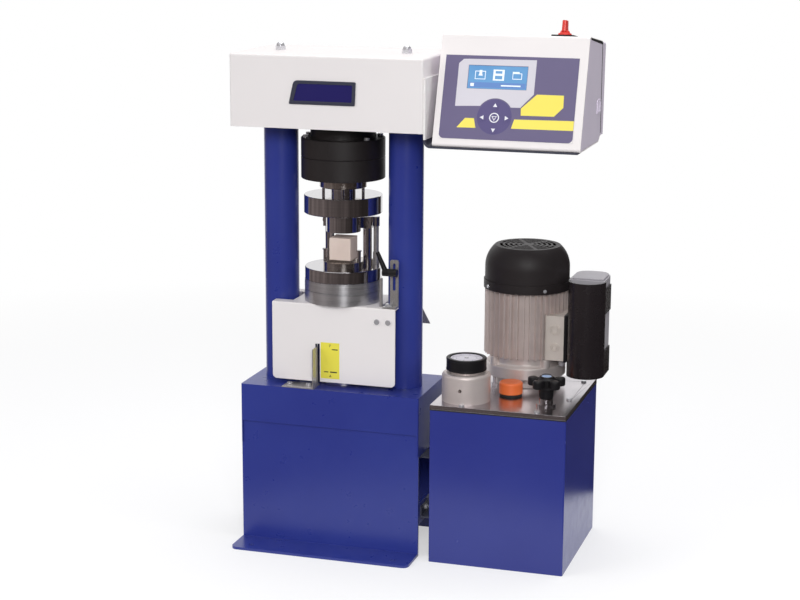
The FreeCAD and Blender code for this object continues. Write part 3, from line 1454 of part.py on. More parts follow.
def terminal_lid():
    over = S.terminal_lid_edge
    high = S.terminal_bottom + S.terminal_height + over
    plate = box(S.terminal_right, lid_face, S.terminal_front - over,
                S.terminal_front + S.terminal_width + over, S.terminal_bottom - over, high)
    right = lid_face.number

    def rim(edge):
        return all(abs(v.X - right) < 0.01 for v in edge.Vertexes)
    return rounded(plate, over, rim)


node(terminal_lid(), "terminal_lid")
sleeve_radius = S.capacitor_width / 2
sleeve_x = lid_face + sleeve_radius


def capacitor_housing():
    right = lid_face + S.capacitor_width - S.sleeve_wall
    back = S.capacitor_front + S.capacitor_depth
    body = box(lid_face, right, S.capacitor_front, back, S.capacitor_bottom,
               S.capacitor_bottom + S.capacitor_height)
    return rounded(body, S.capacitor_corner, upright)


node(capacitor_housing(), "capacitor_housing")


def capacitor_sleeve():
    """The black half-round sleeve, open above, with two clips round the housing."""
    low, high = S.sleeve_bottom, S.sleeve_bottom + S.sleeve_height
    wall = S.sleeve_wall
    outer = rod(sleeve_radius, low, high, x=sleeve_x, y=S.capacitor_front)
    inner = rod(sleeve_radius - wall, low + wall, high + 1, x=sleeve_x, y=S.capacitor_front)
    behind = box(lid_face - 1, lid_face + S.capacitor_width + 1, S.capacitor_front,
                 S.capacitor_front + sleeve_radius + 1, low - 1, high + 1)
    half = cut(outer, inner, behind)
    right = lid_face + S.capacitor_width
    clips = [box(right - wall, right, S.capacitor_front - 1, S.capacitor_front + S.band_depth,
                 z, z + S.band_height) for z in (S.band_upper, S.band_lower)]
    return fuse(half, *clips)


node(capacitor_sleeve(), "capacitor_sleeve")
gland_x = S.terminal_right - S.gland_radius
gland_y = S.terminal_front + S.gland_radius * 3


def cable_gland():
    low = S.terminal_bottom - S.gland_height
    neck = cone(S.gland_radius * 0.7, S.gland_radius, low, low + S.gland_height / 2,
                x=gland_x, y=gland_y)
    nut = hexagon(S.gland_radius, low + S.gland_height / 2, S.terminal_bottom, x=gland_x, y=gland_y)
    return fuse(neck, nut)


node(cable_gland(), "cable_gland")


def gear_pump():
    """The pump under the lid, on the motor's axis."""
    body = new_body(x=S.motor_x, y=S.motor_y)
    flange = lid_bottom - S.pump_flange_height
    bore = S.shaft_radius + S.shaft_gap
    turn(body, [
        (ZERO, pump_bottom), (S.pump_radius, pump_bottom), (S.pump_radius, flange),
        (S.pump_flange_radius, flange), (S.pump_flange_radius, lid_bottom), (bore, lid_bottom),
        (bore, shaft_bottom - S.sheet_gap), (ZERO, shaft_bottom - S.sheet_gap)])
    return body


node(gear_pump(), "gear_pump")

# Console

console_width = S.console_right - S.console_left
face_run = S.console_low_y - S.console_high_y
face_rise = S.console_high_z - S.console_low_z
FACE_LEAN = math.degrees(math.atan2(face_rise.number, face_run.number))
top_drop = S.console_high_z - S.console_back_z
top_run = S.console_high_y + S.console_back_y
TOP_LEAN = -math.degrees(math.atan2(top_drop.number, top_run.number))


def profile_body(corners, left, right):
    """A solid pulled along X between two places from corners given as y and z."""
    body = new_body()
    pad(body, outline(body, "YZ_Plane", corners, lift=left), Dim.of(right) - left)
    return body


def seam_share():
    """How far the seam lies along the sloping top."""
    return (S.console_seam_y + S.console_high_y) / top_run


seam_top = S.console_high_z - top_drop * seam_share()


def on_face(thing, along, up, out):
    """Place a thing in the sloping front face's own frame."""
    place(thing, S.console_left + along, -S.console_low_y, S.console_low_z, (1, 0, 0), FACE_LEAN)
    slope = "sqrt(pow(" + face_run.formula + "; 2) + pow(" + face_rise.formula + "; 2))"
    length = math.hypot(face_run.number, face_rise.number)
    lean_y = Dim("(" + face_run.formula + " / " + slope + ")", face_run.number / length)
    lean_z = Dim("(" + face_rise.formula + " / " + slope + ")", face_rise.number / length)
    bind(thing, "Placement.Rotation.Angle",
         Dim("atan(" + (face_rise / face_run).formula + ")", FACE_LEAN))
    bind(thing, "Placement.Base.y", -S.console_low_y + lean_y * up - lean_z * out)
    bind(thing, "Placement.Base.z", S.console_low_z + lean_z * up + lean_y * out)
    return thing


def face_box(left, width, bottom, height, back, front):
    thing = doc.addObject("Part::Box", "Panel")
    bind(thing, "Length", width)
    bind(thing, "Width", height)
    bind(thing, "Height", Dim.of(front) - back)
    return on_face(thing, left, bottom, back)


def face_rod(radius, along, up, back, front):
    thing = doc.addObject("Part::Cylinder", "Key")
    bind(thing, "Radius", radius)
    bind(thing, "Height", Dim.of(front) - back)
    return on_face(thing, along, up, back)


KEYS = {
    "key_centre": (0, 0), "key_up": (0, 1), "key_down": (0, -1),
    "key_left": (-1, 0), "key_right": (1, 0)}


def key_spot(name):
    across, up = KEYS[name]
    radius = S.centre_key_radius if name == "key_centre" else S.key_radius
    return radius, S.keypad_x + S.key_spread * across, S.keypad_rise + S.key_spread * up


def key_holes(back, front):
    holes = []
    for name in KEYS:
        radius, along, up = key_spot(name)
        holes.append(face_rod(radius + S.hole_gap, along, up, back, front))
    return holes


def console_shell():
    """The wrapped housing, with side recesses, key pockets and the display's recess."""
    corners = [
        (-S.console_low_y, S.console_low_z), (S.console_heel_y, S.console_low_z),
        (S.console_seam_y, S.console_rear_z), (S.console_seam_y, seam_top),
        (-S.console_high_y, S.console_high_z)]
    body = profile_body(corners, S.console_left, S.console_right)
    low_y, high_y = -S.console_low_y.number, -S.console_high_y.number

    def front_edges(edge):
        return all(abs(v.Y - low_y) < 0.01 or abs(v.Y - high_y) < 0.01 for v in edge.Vertexes) \
            and abs(edge.Length - console_width.number) < 0.01
    soften(body, S.console_edge, front_edges)
    recess = []
    for left, right in ((S.console_left - 1, S.console_left + S.cheek_sheet),
                        (S.console_right - S.cheek_sheet, S.console_right + 1)):
        recess.append(profile_body(cheek_corners(S.cheek_inset), left, right))
    display = face_box(S.display_left, S.display_width, S.display_bottom, S.display_height,
                       -S.key_depth, 1)
    return cut(body, *recess, display, *key_holes(-S.key_depth, 1))


def cheek_corners(inset):
    """The console's side outline, drawn in by an inset."""
    back = S.console_seam_y
    return [
        (-S.console_low_y + inset * 2, S.console_low_z + inset),
        (S.console_heel_y, S.console_low_z + inset), (back, S.console_rear_z + inset),
        (back, seam_top - inset), (-S.console_high_y + inset, S.console_high_z - inset * 2)]


node(console_shell(), "console_shell")


def cheeks():
    thin = S.cheek_inset + S.sheet_gap
    left = profile_body(cheek_corners(thin), S.console_left, S.console_left + S.cheek_sheet)
    right = profile_body(cheek_corners(thin), S.console_right - S.cheek_sheet, S.console_right)
    return together(left, right)


node(cheeks(), "console_cheeks")
inlet_x = (S.console_left + S.console_right) / 2
inlet_z = S.console_rear_z + S.inlet_rise


def inlet_block(room):
    half = S.inlet_width / 2 + room
    back = S.console_rear_y + S.inlet_proud * 2
    return box(inlet_x - half, inlet_x + half, back - S.inlet_depth - room, back,
               inlet_z - room, inlet_z + S.inlet_height + room)


def console_rear_cover():
    corners = [
        (S.console_seam_y, S.console_rear_z), (S.console_rear_y, S.console_rear_z),
        (S.console_back_y, S.console_back_z), (S.console_seam_y, seam_top)]
    body = profile_body(corners, S.console_left, S.console_right)
    back = S.console_back_y.number

    def rear_edges(edge):
        return any(abs(v.Y - back) < 0.01 for v in edge.Vertexes)
    soften(body, S.console_edge, rear_edges)
    return cut(body, inlet_block(ZERO))


node(console_rear_cover(), "console_rear_cover")


def mains_inlet():
    """A plain appliance inlet with its three-pin socket well."""
    block = inlet_block(ZERO)
    wall = S.inlet_proud * 2
    half = S.inlet_width / 2 - wall
    back = S.console_rear_y + S.inlet_proud * 2
    well = box(inlet_x - half, inlet_x + half, back - S.inlet_depth / 2, back + 1,
               inlet_z + wall, inlet_z + S.inlet_height - wall)
    return cut(block, well)


node(mains_inlet(), "mains_inlet")


def console_overlay():
    """The printed front foil, with a window and holes for the keys."""
    sheet = face_box(S.overlay_left, S.overlay_width, S.overlay_bottom, S.overlay_height,
                     ZERO, S.overlay_sheet)
    window = face_box(S.display_left, S.display_width, S.display_bottom, S.display_height, -1, 2)
    return cut(sheet, window, *key_holes(-1, 2))


node(console_overlay(), "console_overlay")
node(face_box(S.display_left, S.display_width, S.display_bottom, S.display_height,
              -S.key_depth, S.overlay_sheet / 2), "console_display")
for key_name in KEYS:
    key_size, key_along, key_up = key_spot(key_name)
    node(face_rod(key_size, key_along, key_up, -S.key_depth + S.key_travel + S.sheet_gap,
                  S.overlay_sheet), key_name)


def on_top(thing, along, back, out):
    """Place a thing in the sloping top's own frame."""
    place(thing, along, ZERO, ZERO, (1, 0, 0), TOP_LEAN)
    bind(thing, "Placement.Rotation.Angle",
         Dim("atan(" + (top_drop / top_run).formula + ")", -TOP_LEAN))
    thing.Placement.Rotation.Axis = FreeCAD.Vector(-1, 0, 0)
    slope = "sqrt(pow(" + top_run.formula + "; 2) + pow(" + top_drop.formula + "; 2))"
    length = math.hypot(top_run.number, top_drop.number)
    run = Dim("(" + top_run.formula + " / " + slope + ")", top_run.number / length)
    drop = Dim("(" + top_drop.formula + " / " + slope + ")", top_drop.number / length)
    bind(thing, "Placement.Base.y", -S.console_high_y + run * back + drop * out)
    bind(thing, "Placement.Base.z", S.console_high_z - drop * back + run * out)
    return thing


def top_box(width, depth, low, high):
    thing = doc.addObject("Part::Box", "Plate")
    bind(thing, "Length", width)
    bind(thing, "Width", depth)
    bind(thing, "Height", Dim.of(high) - low)
    return on_top(thing, S.switch_x - width / 2, S.switch_back - depth / 2, low)


def top_rod(radius, low, high):
    thing = doc.addObject("Part::Cylinder", "Knob")
    bind(thing, "Radius", radius)
    bind(thing, "Height", Dim.of(high) - low)
    return on_top(thing, S.switch_x, S.switch_back, low)


node(top_box(S.switch_side, S.switch_side, ZERO, S.switch_plate_height), "switch_plate")
knob_foot = S.switch_plate_height + S.sheet_gap
node(fuse(top_rod(S.switch_disc_radius, knob_foot, knob_foot + S.switch_disc_height),
          top_box(S.switch_grip_width, S.switch_grip_length, knob_foot + S.switch_disc_height / 2,
                  knob_foot + S.switch_disc_height + S.switch_grip_height)), "switch_knob")


def console_bracket():
    """An angle on the crosshead's right side, with the tray that carries the console."""
    wall = S.cover_half_width
    sheet = S.bracket_sheet
    tray = S.console_low_z - sheet
    body = new_body()
    corners = [
        (wall, tray), (S.console_right - S.cheek_inset * 2, tray),
        (S.console_right - S.cheek_inset * 2, S.console_low_z), (wall + sheet, S.console_low_z),
        (wall + sheet, S.console_low_z + S.bracket_height),
        (wall, S.console_low_z + S.bracket_height)]
    front = S.console_low_y
    pad(body, outline(body, "XZ_Plane", corners, lift=-S.console_heel_y),
        front + S.console_heel_y)
    left, low = wall.number, tray.number

    def outer_bend(edge):
        return all(abs(v.X - left) < 0.01 and abs(v.Z - low) < 0.01 for v in edge.Vertexes)
    soften(body, S.bracket_bend, outer_bend)
    inner_x, inner_z = (wall + sheet).number, S.console_low_z.number

    def inner_bend(edge):
        return all(abs(v.X - inner_x) < 0.01 and abs(v.Z - inner_z) < 0.01 for v in edge.Vertexes)
    soften(body, S.bracket_bend - sheet, inner_bend)
    return body


node(console_bracket(), "console_bracket")

# Brackets between base and tank

tie_back = -S.tie_front + S.tie_width


def upper_tie():
    """From the underside of the block to the tank's side."""
    left = S.block_half_length - S.tie_overlap
    high = S.block_bottom
    flat = box(left, S.tank_left, -S.tie_front, tie_back, high - S.tie_sheet, high)
    flange = box(S.tank_left - S.tie_sheet, S.tank_left, -S.tie_front, tie_back,
                 high - S.tie_flange, high)
    return fuse(flat, flange)


def lower_tie():
    """From the side rail to the tank's side."""
    left = S.hood_half_width
    flat = box(left, S.tank_left, -S.tie_front, tie_back, S.tie_low, S.tie_low + S.tie_sheet)
    sides = [box(x, x + S.tie_sheet, -S.tie_front, tie_back, S.tie_low, S.tie_low + S.tie_flange)
             for x in (left, S.tank_left - S.tie_sheet)]
    return fuse(flat, *sides)


node(together(upper_tie(), lower_tie()), "tank_brackets")

# Fasteners of the fixed frame and the pump unit


def column_nut(hand, low):
    nut = hexagon(S.nut_radius, low, low + S.nut_height, x=hand * S.column_offset)
    return cut(nut, rod(S.stud_radius, low - 1, low + S.nut_height + 1, x=hand * S.column_offset))


def cap_nut(hand):
    """The stud on a column's end, shouldered under the cover, and its domed nut."""
    x = hand * S.column_offset
    shoulder = rod(S.cap_stud_radius * 1.6, column_top, cover_under, x=x)
    stud = rod(S.cap_stud_radius, cover_under - 1, S.cover_top + S.cap_nut_height, x=x)
    nut = hexagon(S.cap_nut_radius, S.cover_top, S.cover_top + S.cap_nut_height, x=x)
    dome = doc.addObject("Part::Sphere", "Dome")
    bind(dome, "Radius", S.cap_nut_radius * 0.8)
    place(dome, x, ZERO, S.cover_top + S.cap_nut_height)
    over = box(x - S.cap_nut_radius, x + S.cap_nut_radius, -S.cap_nut_radius, S.cap_nut_radius,
               S.cover_top + S.cap_nut_height, S.cover_top + S.cap_nut_height * 3)
    top = doc.addObject("Part::MultiCommon", "NutDome")
    top.Shapes = [dome, over]
    return fuse(shoulder, stud, nut, top)


def head(x, y, low, shank=None, height=None):
    """A socket screw head, with a shank below it where one shows."""
    height = S.screw_head_height if height is None else height
    top = rod(S.screw_head_radius, low, low + height, x=x, y=y)
    if shank is None:
        return top
    return fuse(top, rod(S.screw_radius, low - shank, low + 1, x=x, y=y))


def fasteners():
    pieces = []
    for hand in (-1, 1):
        pieces.append(column_nut(hand, crosshead_top))
        pieces.append(column_nut(hand, column_bottom))
        pieces.append(cap_nut(hand))
    for degrees in CELL_SCREW_ANGLES:
        x, y = on_circle(S.cell_screw_circle, degrees)
        pieces.append(head(x, y, S.cell_shoulder))
    foot_y = -S.hood_half_depth + S.pointer_foot_depth * 0.55
    blade = -S.slot_middle
    for share in (0.25, 0.85):
        pieces.append(head(blade - S.pointer_foot_length * share, foot_y,
                           S.hood_top + S.pointer_sheet, height=S.screw_radius))
    for x, y in lid_screw_spots():
        pieces.append(head(x, y, lid_top, shank=S.lid_height, height=S.screw_radius))
    for side_x in (-1, 1):
        for side_y in (-1, 1):
            x, y = on_circle(S.lug_circle, 45.0)
            x, y = S.motor_x + side_x * x, S.motor_y + side_y * y
            lug_bottom = lid_top + S.bell_height - S.lug_height
            stud = rod(S.screw_radius, lid_top, lug_bottom + S.lug_height, x=x, y=y)
            foot = hexagon(S.screw_head_radius + 1, lid_top, lid_top + S.screw_head_height, x=x, y=y)
            grip = hexagon(S.screw_head_radius + 1, lug_bottom - S.screw_head_height, lug_bottom,
                           x=x, y=y)
            pieces.append(fuse(stud, foot, grip))
    middle = -S.tie_front + S.tie_width / 2
    pieces.append(rod(S.screw_head_radius, S.hood_half_width + S.tie_sheet,
                      S.hood_half_width + S.tie_sheet + S.screw_head_height, x=middle,
                      y=S.tie_low + S.tie_flange * 0.6, along="x"))
    under = S.block_bottom - S.tie_sheet
    pieces.append(head(S.block_half_length - S.tie_overlap / 2, middle,
                       under - S.screw_head_height))
    return together(*pieces)


node(fasteners(), "fasteners")

# Recompute, check every object and write the sub-parts

doc.recompute()
failed = [thing.Label for thing in doc.Objects
          if "Invalid" in thing.State or "Error" in thing.State]
if failed:
    raise ValueError("failed objects: " + ", ".join(failed))
for thing in SUB_PARTS:
    if thing.Shape.isNull() or not thing.Shape.isValid():
        raise ValueError("bad shape: " + thing.Label)
for thing in SUB_PARTS:
    thing.Shape.exportStep(os.path.join("parts", thing.Label + ".step"))
    print(thing.Label, len(thing.Shape.Solids), round(thing.Shape.Volume))
print(len(SUB_PARTS), "sub-parts")
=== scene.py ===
"""The looks of a two-column compression testing machine, dressed round its fixed CAD frame."""

import logging
import math
from dataclasses import dataclass
from enum import Enum
from typing import Callable, Optional, Sequence, Union

import bmesh
import bpy
from mathutils import Matrix, Vector


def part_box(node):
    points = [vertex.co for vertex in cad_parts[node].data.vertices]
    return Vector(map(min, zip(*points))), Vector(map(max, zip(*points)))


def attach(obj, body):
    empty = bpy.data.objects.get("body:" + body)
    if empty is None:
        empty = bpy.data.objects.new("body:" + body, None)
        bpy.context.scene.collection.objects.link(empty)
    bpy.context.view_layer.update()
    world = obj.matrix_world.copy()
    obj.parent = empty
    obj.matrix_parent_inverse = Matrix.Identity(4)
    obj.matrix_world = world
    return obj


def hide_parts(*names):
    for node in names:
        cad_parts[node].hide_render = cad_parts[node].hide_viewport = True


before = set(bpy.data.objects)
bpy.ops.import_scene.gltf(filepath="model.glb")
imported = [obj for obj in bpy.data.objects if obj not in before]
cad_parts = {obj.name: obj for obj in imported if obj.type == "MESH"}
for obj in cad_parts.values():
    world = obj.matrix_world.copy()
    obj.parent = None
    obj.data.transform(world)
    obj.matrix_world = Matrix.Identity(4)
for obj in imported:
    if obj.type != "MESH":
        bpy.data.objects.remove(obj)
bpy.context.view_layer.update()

MM = 0.001
LOG = logging.getLogger("compression_machine")

Pair = tuple[float, float]
Triple = tuple[float, float, float]
Quad = tuple[float, float, float, float]
Screen = tuple[int, int, int]
Outline = Sequence[Pair]
Mesh = bmesh.types.BMesh
Socket = bpy.types.NodeSocket
Feed = Union[float, Sequence[float], Socket]
Placer = Callable[[float, float, float], Vector]

PAPER_WHITE = (1.0, 1.0, 1.0, 1.0)
DUST_COLOUR: Screen = (196, 190, 182)


def linear(red: int, green: int, blue: int) -> Quad:
    """Turn a screen colour of 0 to 255 into the linear colour that shaders take.

    Args:
        red: Red, 0 to 255.
        green: Green, 0 to 255.
        blue: Blue, 0 to 255.

    Returns:
        The linear colour with an alpha of one.
    """
    steps = [channel / 255 for channel in (red, green, blue)]
    made = [s / 12.92 if s <= 0.04045 else ((s + 0.055) / 1.055) ** 2.4 for s in steps]
    return made[0], made[1], made[2], 1.0


class Wiring:
    """A node tree while it is being wired."""

    def __init__(self, tree: bpy.types.NodeTree) -> None:
        """Keep the tree that the nodes go into."""
        self.tree = tree

    @classmethod
    def of(cls, owner: Union[bpy.types.Material, bpy.types.World]) -> "Wiring":
        """Clear the nodes of a material or a world and start its wiring."""
        owner.use_nodes = True
        owner.node_tree.nodes.clear()
        return cls(owner.node_tree)

    def add(self, kind: str, feeds: Optional[dict[str, Feed]] = None,
            **settings: object) -> bpy.types.Node:
        """Add a node, set it up and feed its sockets.

        Args:
            kind: Blender's type name of the node, without its ShaderNode prefix.
            feeds: Socket name or number to a value, or to the socket that feeds it.
            **settings: Properties of the node itself.

        Returns:
            The node.
        """
        node = self.tree.nodes.new("ShaderNode" + kind)
        for name, value in settings.items():
            setattr(node, name, value)
        for name, value in (feeds or {}).items():
            socket = node.inputs[int(name) if name.isdigit() else name]
            if isinstance(value, Socket):
                self.tree.links.new(value, socket)
            else:
                socket.default_value = value
        return node

    def math(self, operation: str, first: Feed, second: Feed = 0.0) -> Socket:
        """Join two values by one of Blender's sums, such as MULTIPLY."""
        return self.add("Math", {"0": first, "1": second}, operation=operation).outputs[0]

    def mix(self, factor: Socket, first: Feed, second: Feed) -> Socket:
        """Mix two colours by a factor."""
        return self.add("Mix", {"Factor": factor, "A": first, "B": second},
                        data_type="RGBA").outputs["Result"]

    def noise(self, where: Socket, scale: Feed, detail: float, rough: float = 0.5) -> Socket:
        """Sample soft noise at a place."""
        return self.add("TexNoise", {"Vector": where, "Scale": scale, "Detail": detail,
                                     "Roughness": rough}).outputs["Fac"]

    def where(self) -> Socket:
        """Give the place on the object."""
        return self.add("TexCoord").outputs["Object"]

    def in_view(self) -> Socket:
        """Give one to rays from the eye and to those through gloss or glass, else nought."""
        rays = self.add("LightPath").outputs
        return self.math("MAXIMUM", rays["Is Camera Ray"],
                         self.math("MAXIMUM", rays["Is Glossy Ray"], rays["Is Transmission Ray"]))

    def ramp(self, value: Socket, low: float, high: float, out_low: float = 0.0,
             out_high: float = 1.0) -> Socket:
        """Stretch a value from one range to another and hold it there.

        Args:
            value: The socket that is read.
            low: Input at the low end.
            high: Input at the high end.
            out_low: Output at the low end.
            out_high: Output at the high end.

        Returns:
            The socket with the stretched value.
        """
        return self.add("MapRange", {"Value": value, "From Min": low, "From Max": high,
                                     "To Min": out_low, "To Max": out_high}).outputs["Result"]


class Effect(Enum):
    """The surface effects that finishes share, each one a shader node group."""

    PEEL = "Paint Peel"
    TURNED = "Turned Marks"
    BRUSHED = "Brushed Marks"
    CAST = "Cast Skin"
    RUB = "Edge Rub"
    DUST = "Settled Dust"


class EffectShelf:
    """Builds each shared effect once and hands it out."""

    def __init__(self) -> None:
        """Build every group."""
        self.groups = {
            Effect.PEEL: self.group(Effect.PEEL, self.peel, Size=700.0, Drift=5.0),
            Effect.TURNED: self.group(Effect.TURNED, self.turned, Centre=(0.0, 0.0, 0.0),
                                      Pitch=2200.0),
            Effect.BRUSHED: self.group(Effect.BRUSHED, self.brushed,
                                       Stretch=(25.0, 1400.0, 1400.0)),
            Effect.CAST: self.group(Effect.CAST, self.cast, Size=420.0),
            Effect.RUB: self.group(Effect.RUB, self.rub, Reach=0.56),
            Effect.DUST: self.group(Effect.DUST, self.dust, Amount=0.2)}

    @staticmethod
    def group(effect: Effect, wire: Callable[[Wiring, Socket, bpy.types.NodeOutputs],
                                             dict[str, Socket]],
              **inputs: Feed) -> bpy.types.NodeTree:
        """Build one group.

        Args:
            effect: The effect that the group is for.
            wire: Wires it from its wiring, the place and its inputs, and names its outputs.
            **inputs: Each input's default, a number or a vector.

        Returns:
            The group.
        """
        tree = bpy.data.node_groups.new(effect.value, "ShaderNodeTree")
        for name, default in inputs.items():
            kind = "Vector" if isinstance(default, tuple) else "Float"
            socket = tree.interface.new_socket(name, in_out="INPUT",
                                               socket_type="NodeSocket" + kind)
            socket.default_value = default
        wiring = Wiring(tree)
        results = wire(wiring, wiring.where(), tree.nodes.new("NodeGroupInput").outputs)
        for name in results:
            tree.interface.new_socket(name, in_out="OUTPUT", socket_type="NodeSocketFloat")
        target = tree.nodes.new("NodeGroupOutput")
        for name, socket in results.items():
            tree.links.new(socket, target.inputs[name])
        return tree

    @staticmethod
    def peel(w: Wiring, where: Socket, given: bpy.types.NodeOutputs) -> dict[str, Socket]:
        """Wire the fine orange peel of powder coat, with a slow drift of its tone."""
        return {"Height": w.noise(where, given["Size"], 2.0, 0.45),
                "Tone": w.ramp(w.noise(where, given["Drift"], 3.0), 0.3, 0.7),
                "Gloss": w.ramp(w.noise(where, 38.0, 4.0, 0.6), 0.25, 0.75)}

    @staticmethod
    def turned(w: Wiring, where: Socket, given: bpy.types.NodeOutputs) -> dict[str, Socket]:
        """Wire the rings that a lathe leaves round an upright axis."""
        local = w.add("VectorMath", {"0": where, "1": given["Centre"]}, operation="SUBTRACT")
        parts = w.add("SeparateXYZ", {"0": local.outputs[0]}).outputs
        flat = w.add("CombineXYZ", {"0": parts["X"], "1": parts["Y"]}).outputs[0]
        radius = w.add("VectorMath", {"0": flat}, operation="LENGTH").outputs["Value"]
        ring = w.add("CombineXYZ", {
            "0": w.math("MULTIPLY", radius, given["Pitch"]),
            "1": w.math("MULTIPLY", parts["Z"], given["Pitch"]),
            "2": w.math("MULTIPLY", w.math("ARCTAN2", parts["Y"], parts["X"]), 0.6)}).outputs[0]
        lines = w.noise(ring, 1.0, 3.0, 0.65)
        return {"Height": lines, "Streak": w.ramp(lines, 0.3, 0.7),
                "Tone": w.ramp(w.noise(ring, 0.07, 2.0), 0.3, 0.7)}

    @staticmethod
    def brushed(w: Wiring, where: Socket, given: bpy.types.NodeOutputs) -> dict[str, Socket]:
        """Wire straight grinding marks, drawn out along an axis."""
        drawn = w.add("VectorMath", {"0": where, "1": given["Stretch"]}, operation="MULTIPLY")
        lines = w.noise(drawn.outputs[0], 1.0, 3.0, 0.6)
        return {"Height": lines, "Streak": w.ramp(lines, 0.25, 0.75),
                "Tone": w.ramp(w.noise(where, 14.0, 4.0), 0.3, 0.7)}

    @staticmethod
    def cast(w: Wiring, where: Socket, given: bpy.types.NodeOutputs) -> dict[str, Socket]:
        """Wire the grainy, pitted skin of a casting."""
        grain = w.noise(where, given["Size"], 5.0, 0.7)
        pits = w.add("TexVoronoi", {"Vector": where, "Scale": given["Size"]})
        height = w.math("ADD", w.math("MULTIPLY", grain, 0.7),
                        w.math("MULTIPLY", w.ramp(pits.outputs["Distance"], 0.0, 0.3), 0.3))
        return {"Height": height, "Tone": w.ramp(w.noise(where, 22.0, 5.0, 0.6), 0.3, 0.7),
                "Gloss": w.ramp(grain, 0.3, 0.7)}

    @staticmethod
    def rub(w: Wiring, where: Socket, given: bpy.types.NodeOutputs) -> dict[str, Socket]:
        """Wire a mask of the outer edges, where handling wears the finish."""
        edge = w.math("SUBTRACT", w.add("NewGeometry").outputs["Pointiness"], given["Reach"])
        uneven = w.ramp(w.noise(where, 90.0, 4.0), 0.4, 0.62)
        return {"Mask": w.math("MULTIPLY", w.ramp(edge, 0.0, 0.05), uneven)}

    @staticmethod
    def dust(w: Wiring, where: Socket, given: bpy.types.NodeOutputs) -> dict[str, Socket]:
        """Wire a mask of the faces that look up, where dust settles."""
        up = w.add("SeparateXYZ", {"0": w.add("NewGeometry").outputs["Normal"]}).outputs["Z"]
        patch = w.ramp(w.noise(where, 26.0, 6.0, 0.7), 0.35, 0.75)
        mask = w.math("MULTIPLY", w.ramp(up, 0.6, 1.0), patch)
        return {"Mask": w.math("MULTIPLY", mask, given["Amount"])}


SHELF = EffectShelf()


@dataclass(frozen=True)
class Finish:
    """A surface finish, which builds its own material.

    Attributes:
        name: The material's name.
        slot: The material slot that it belongs to; not used.
        colour: Its main colour, as red, green and blue of 0 to 255.
        second: The colour that it drifts to.
        rough: Roughness where it is smoothest.
        rougher: Roughness where it is roughest.
        metal: How metallic it is.
        effect: The group that shapes its surface.
        depth: Strength of the bump.
        reach: Distance of the bump, in metres.
        values: Inputs of the effect's group.
        coat: Weight of a clear coat.
        dust: How much dust lies on its upper faces.
        worn: The colour of its rubbed edges, where it has them.
        glow: Strength of its own light.
        spread: How far its gloss is drawn out along the load axis, from 0 to 1.
        gloss: Strength of the gloss of what isn't metal, 0.5 for common plastic and paint.
    """

    name: str
    slot: str
    colour: Screen
    second: Screen
    rough: float
    rougher: float
    metal: float = 0.0
    effect: Effect = Effect.PEEL
    depth: float = 0.1
    reach: float = 0.0001
    values: tuple[tuple[str, Feed], ...] = ()
    coat: float = 0.0
    dust: float = 0.0
    worn: Optional[Screen] = None
    glow: float = 0.0
    spread: float = 0.0
    gloss: float = 0.5

    def build(self) -> bpy.types.Material:
        """Make the material, or find it if it is made.

        Returns:
            The material.
        """
        made = bpy.data.materials.get(self.name)
        if made is not None:
            return made
        made = bpy.data.materials.new(self.name)
        w = Wiring.of(made)
        group = w.add("Group", node_tree=SHELF.groups[self.effect])
        for name, value in self.values:
            group.inputs[name].default_value = value
        colour = w.mix(group.outputs["Tone"], linear(*self.colour), linear(*self.second))
        if self.worn is not None:
            rub = w.add("Group", node_tree=SHELF.groups[Effect.RUB])
            colour = w.mix(rub.outputs["Mask"], colour, linear(*self.worn))
        if self.dust > 0:
            dust = w.add("Group", {"Amount": self.dust}, node_tree=SHELF.groups[Effect.DUST])
            colour = w.mix(dust.outputs["Mask"], colour, linear(*DUST_COLOUR))
        marked = self.effect in (Effect.TURNED, Effect.BRUSHED)
        vary = group.outputs["Streak" if marked else "Gloss"]
        bump = w.add("Bump", {"Strength": self.depth, "Distance": self.reach,
                              "Height": group.outputs["Height"]})
        feeds = {"Base Color": colour, "Normal": bump.outputs["Normal"],
                 "Roughness": w.ramp(vary, 0.0, 1.0, self.rough, self.rougher),
                 "Metallic": self.metal, "Specular IOR Level": self.gloss,
                 "Coat Weight": self.coat, "Coat Roughness": 0.08}
        if self.spread > 0:
            tangent = w.add("Tangent", direction_type="RADIAL", axis="Z")
            feeds.update({"Tangent": tangent.outputs["Tangent"], "Anisotropic": self.spread,
                          "Anisotropic Rotation": 0.25})
        if self.glow > 0:
            feeds.update({"Emission Color": colour, "Emission Strength": self.glow})
        shader = w.add("BsdfPrincipled", feeds)
        w.add("OutputMaterial", {"Surface": shader.outputs["BSDF"]})
        return made


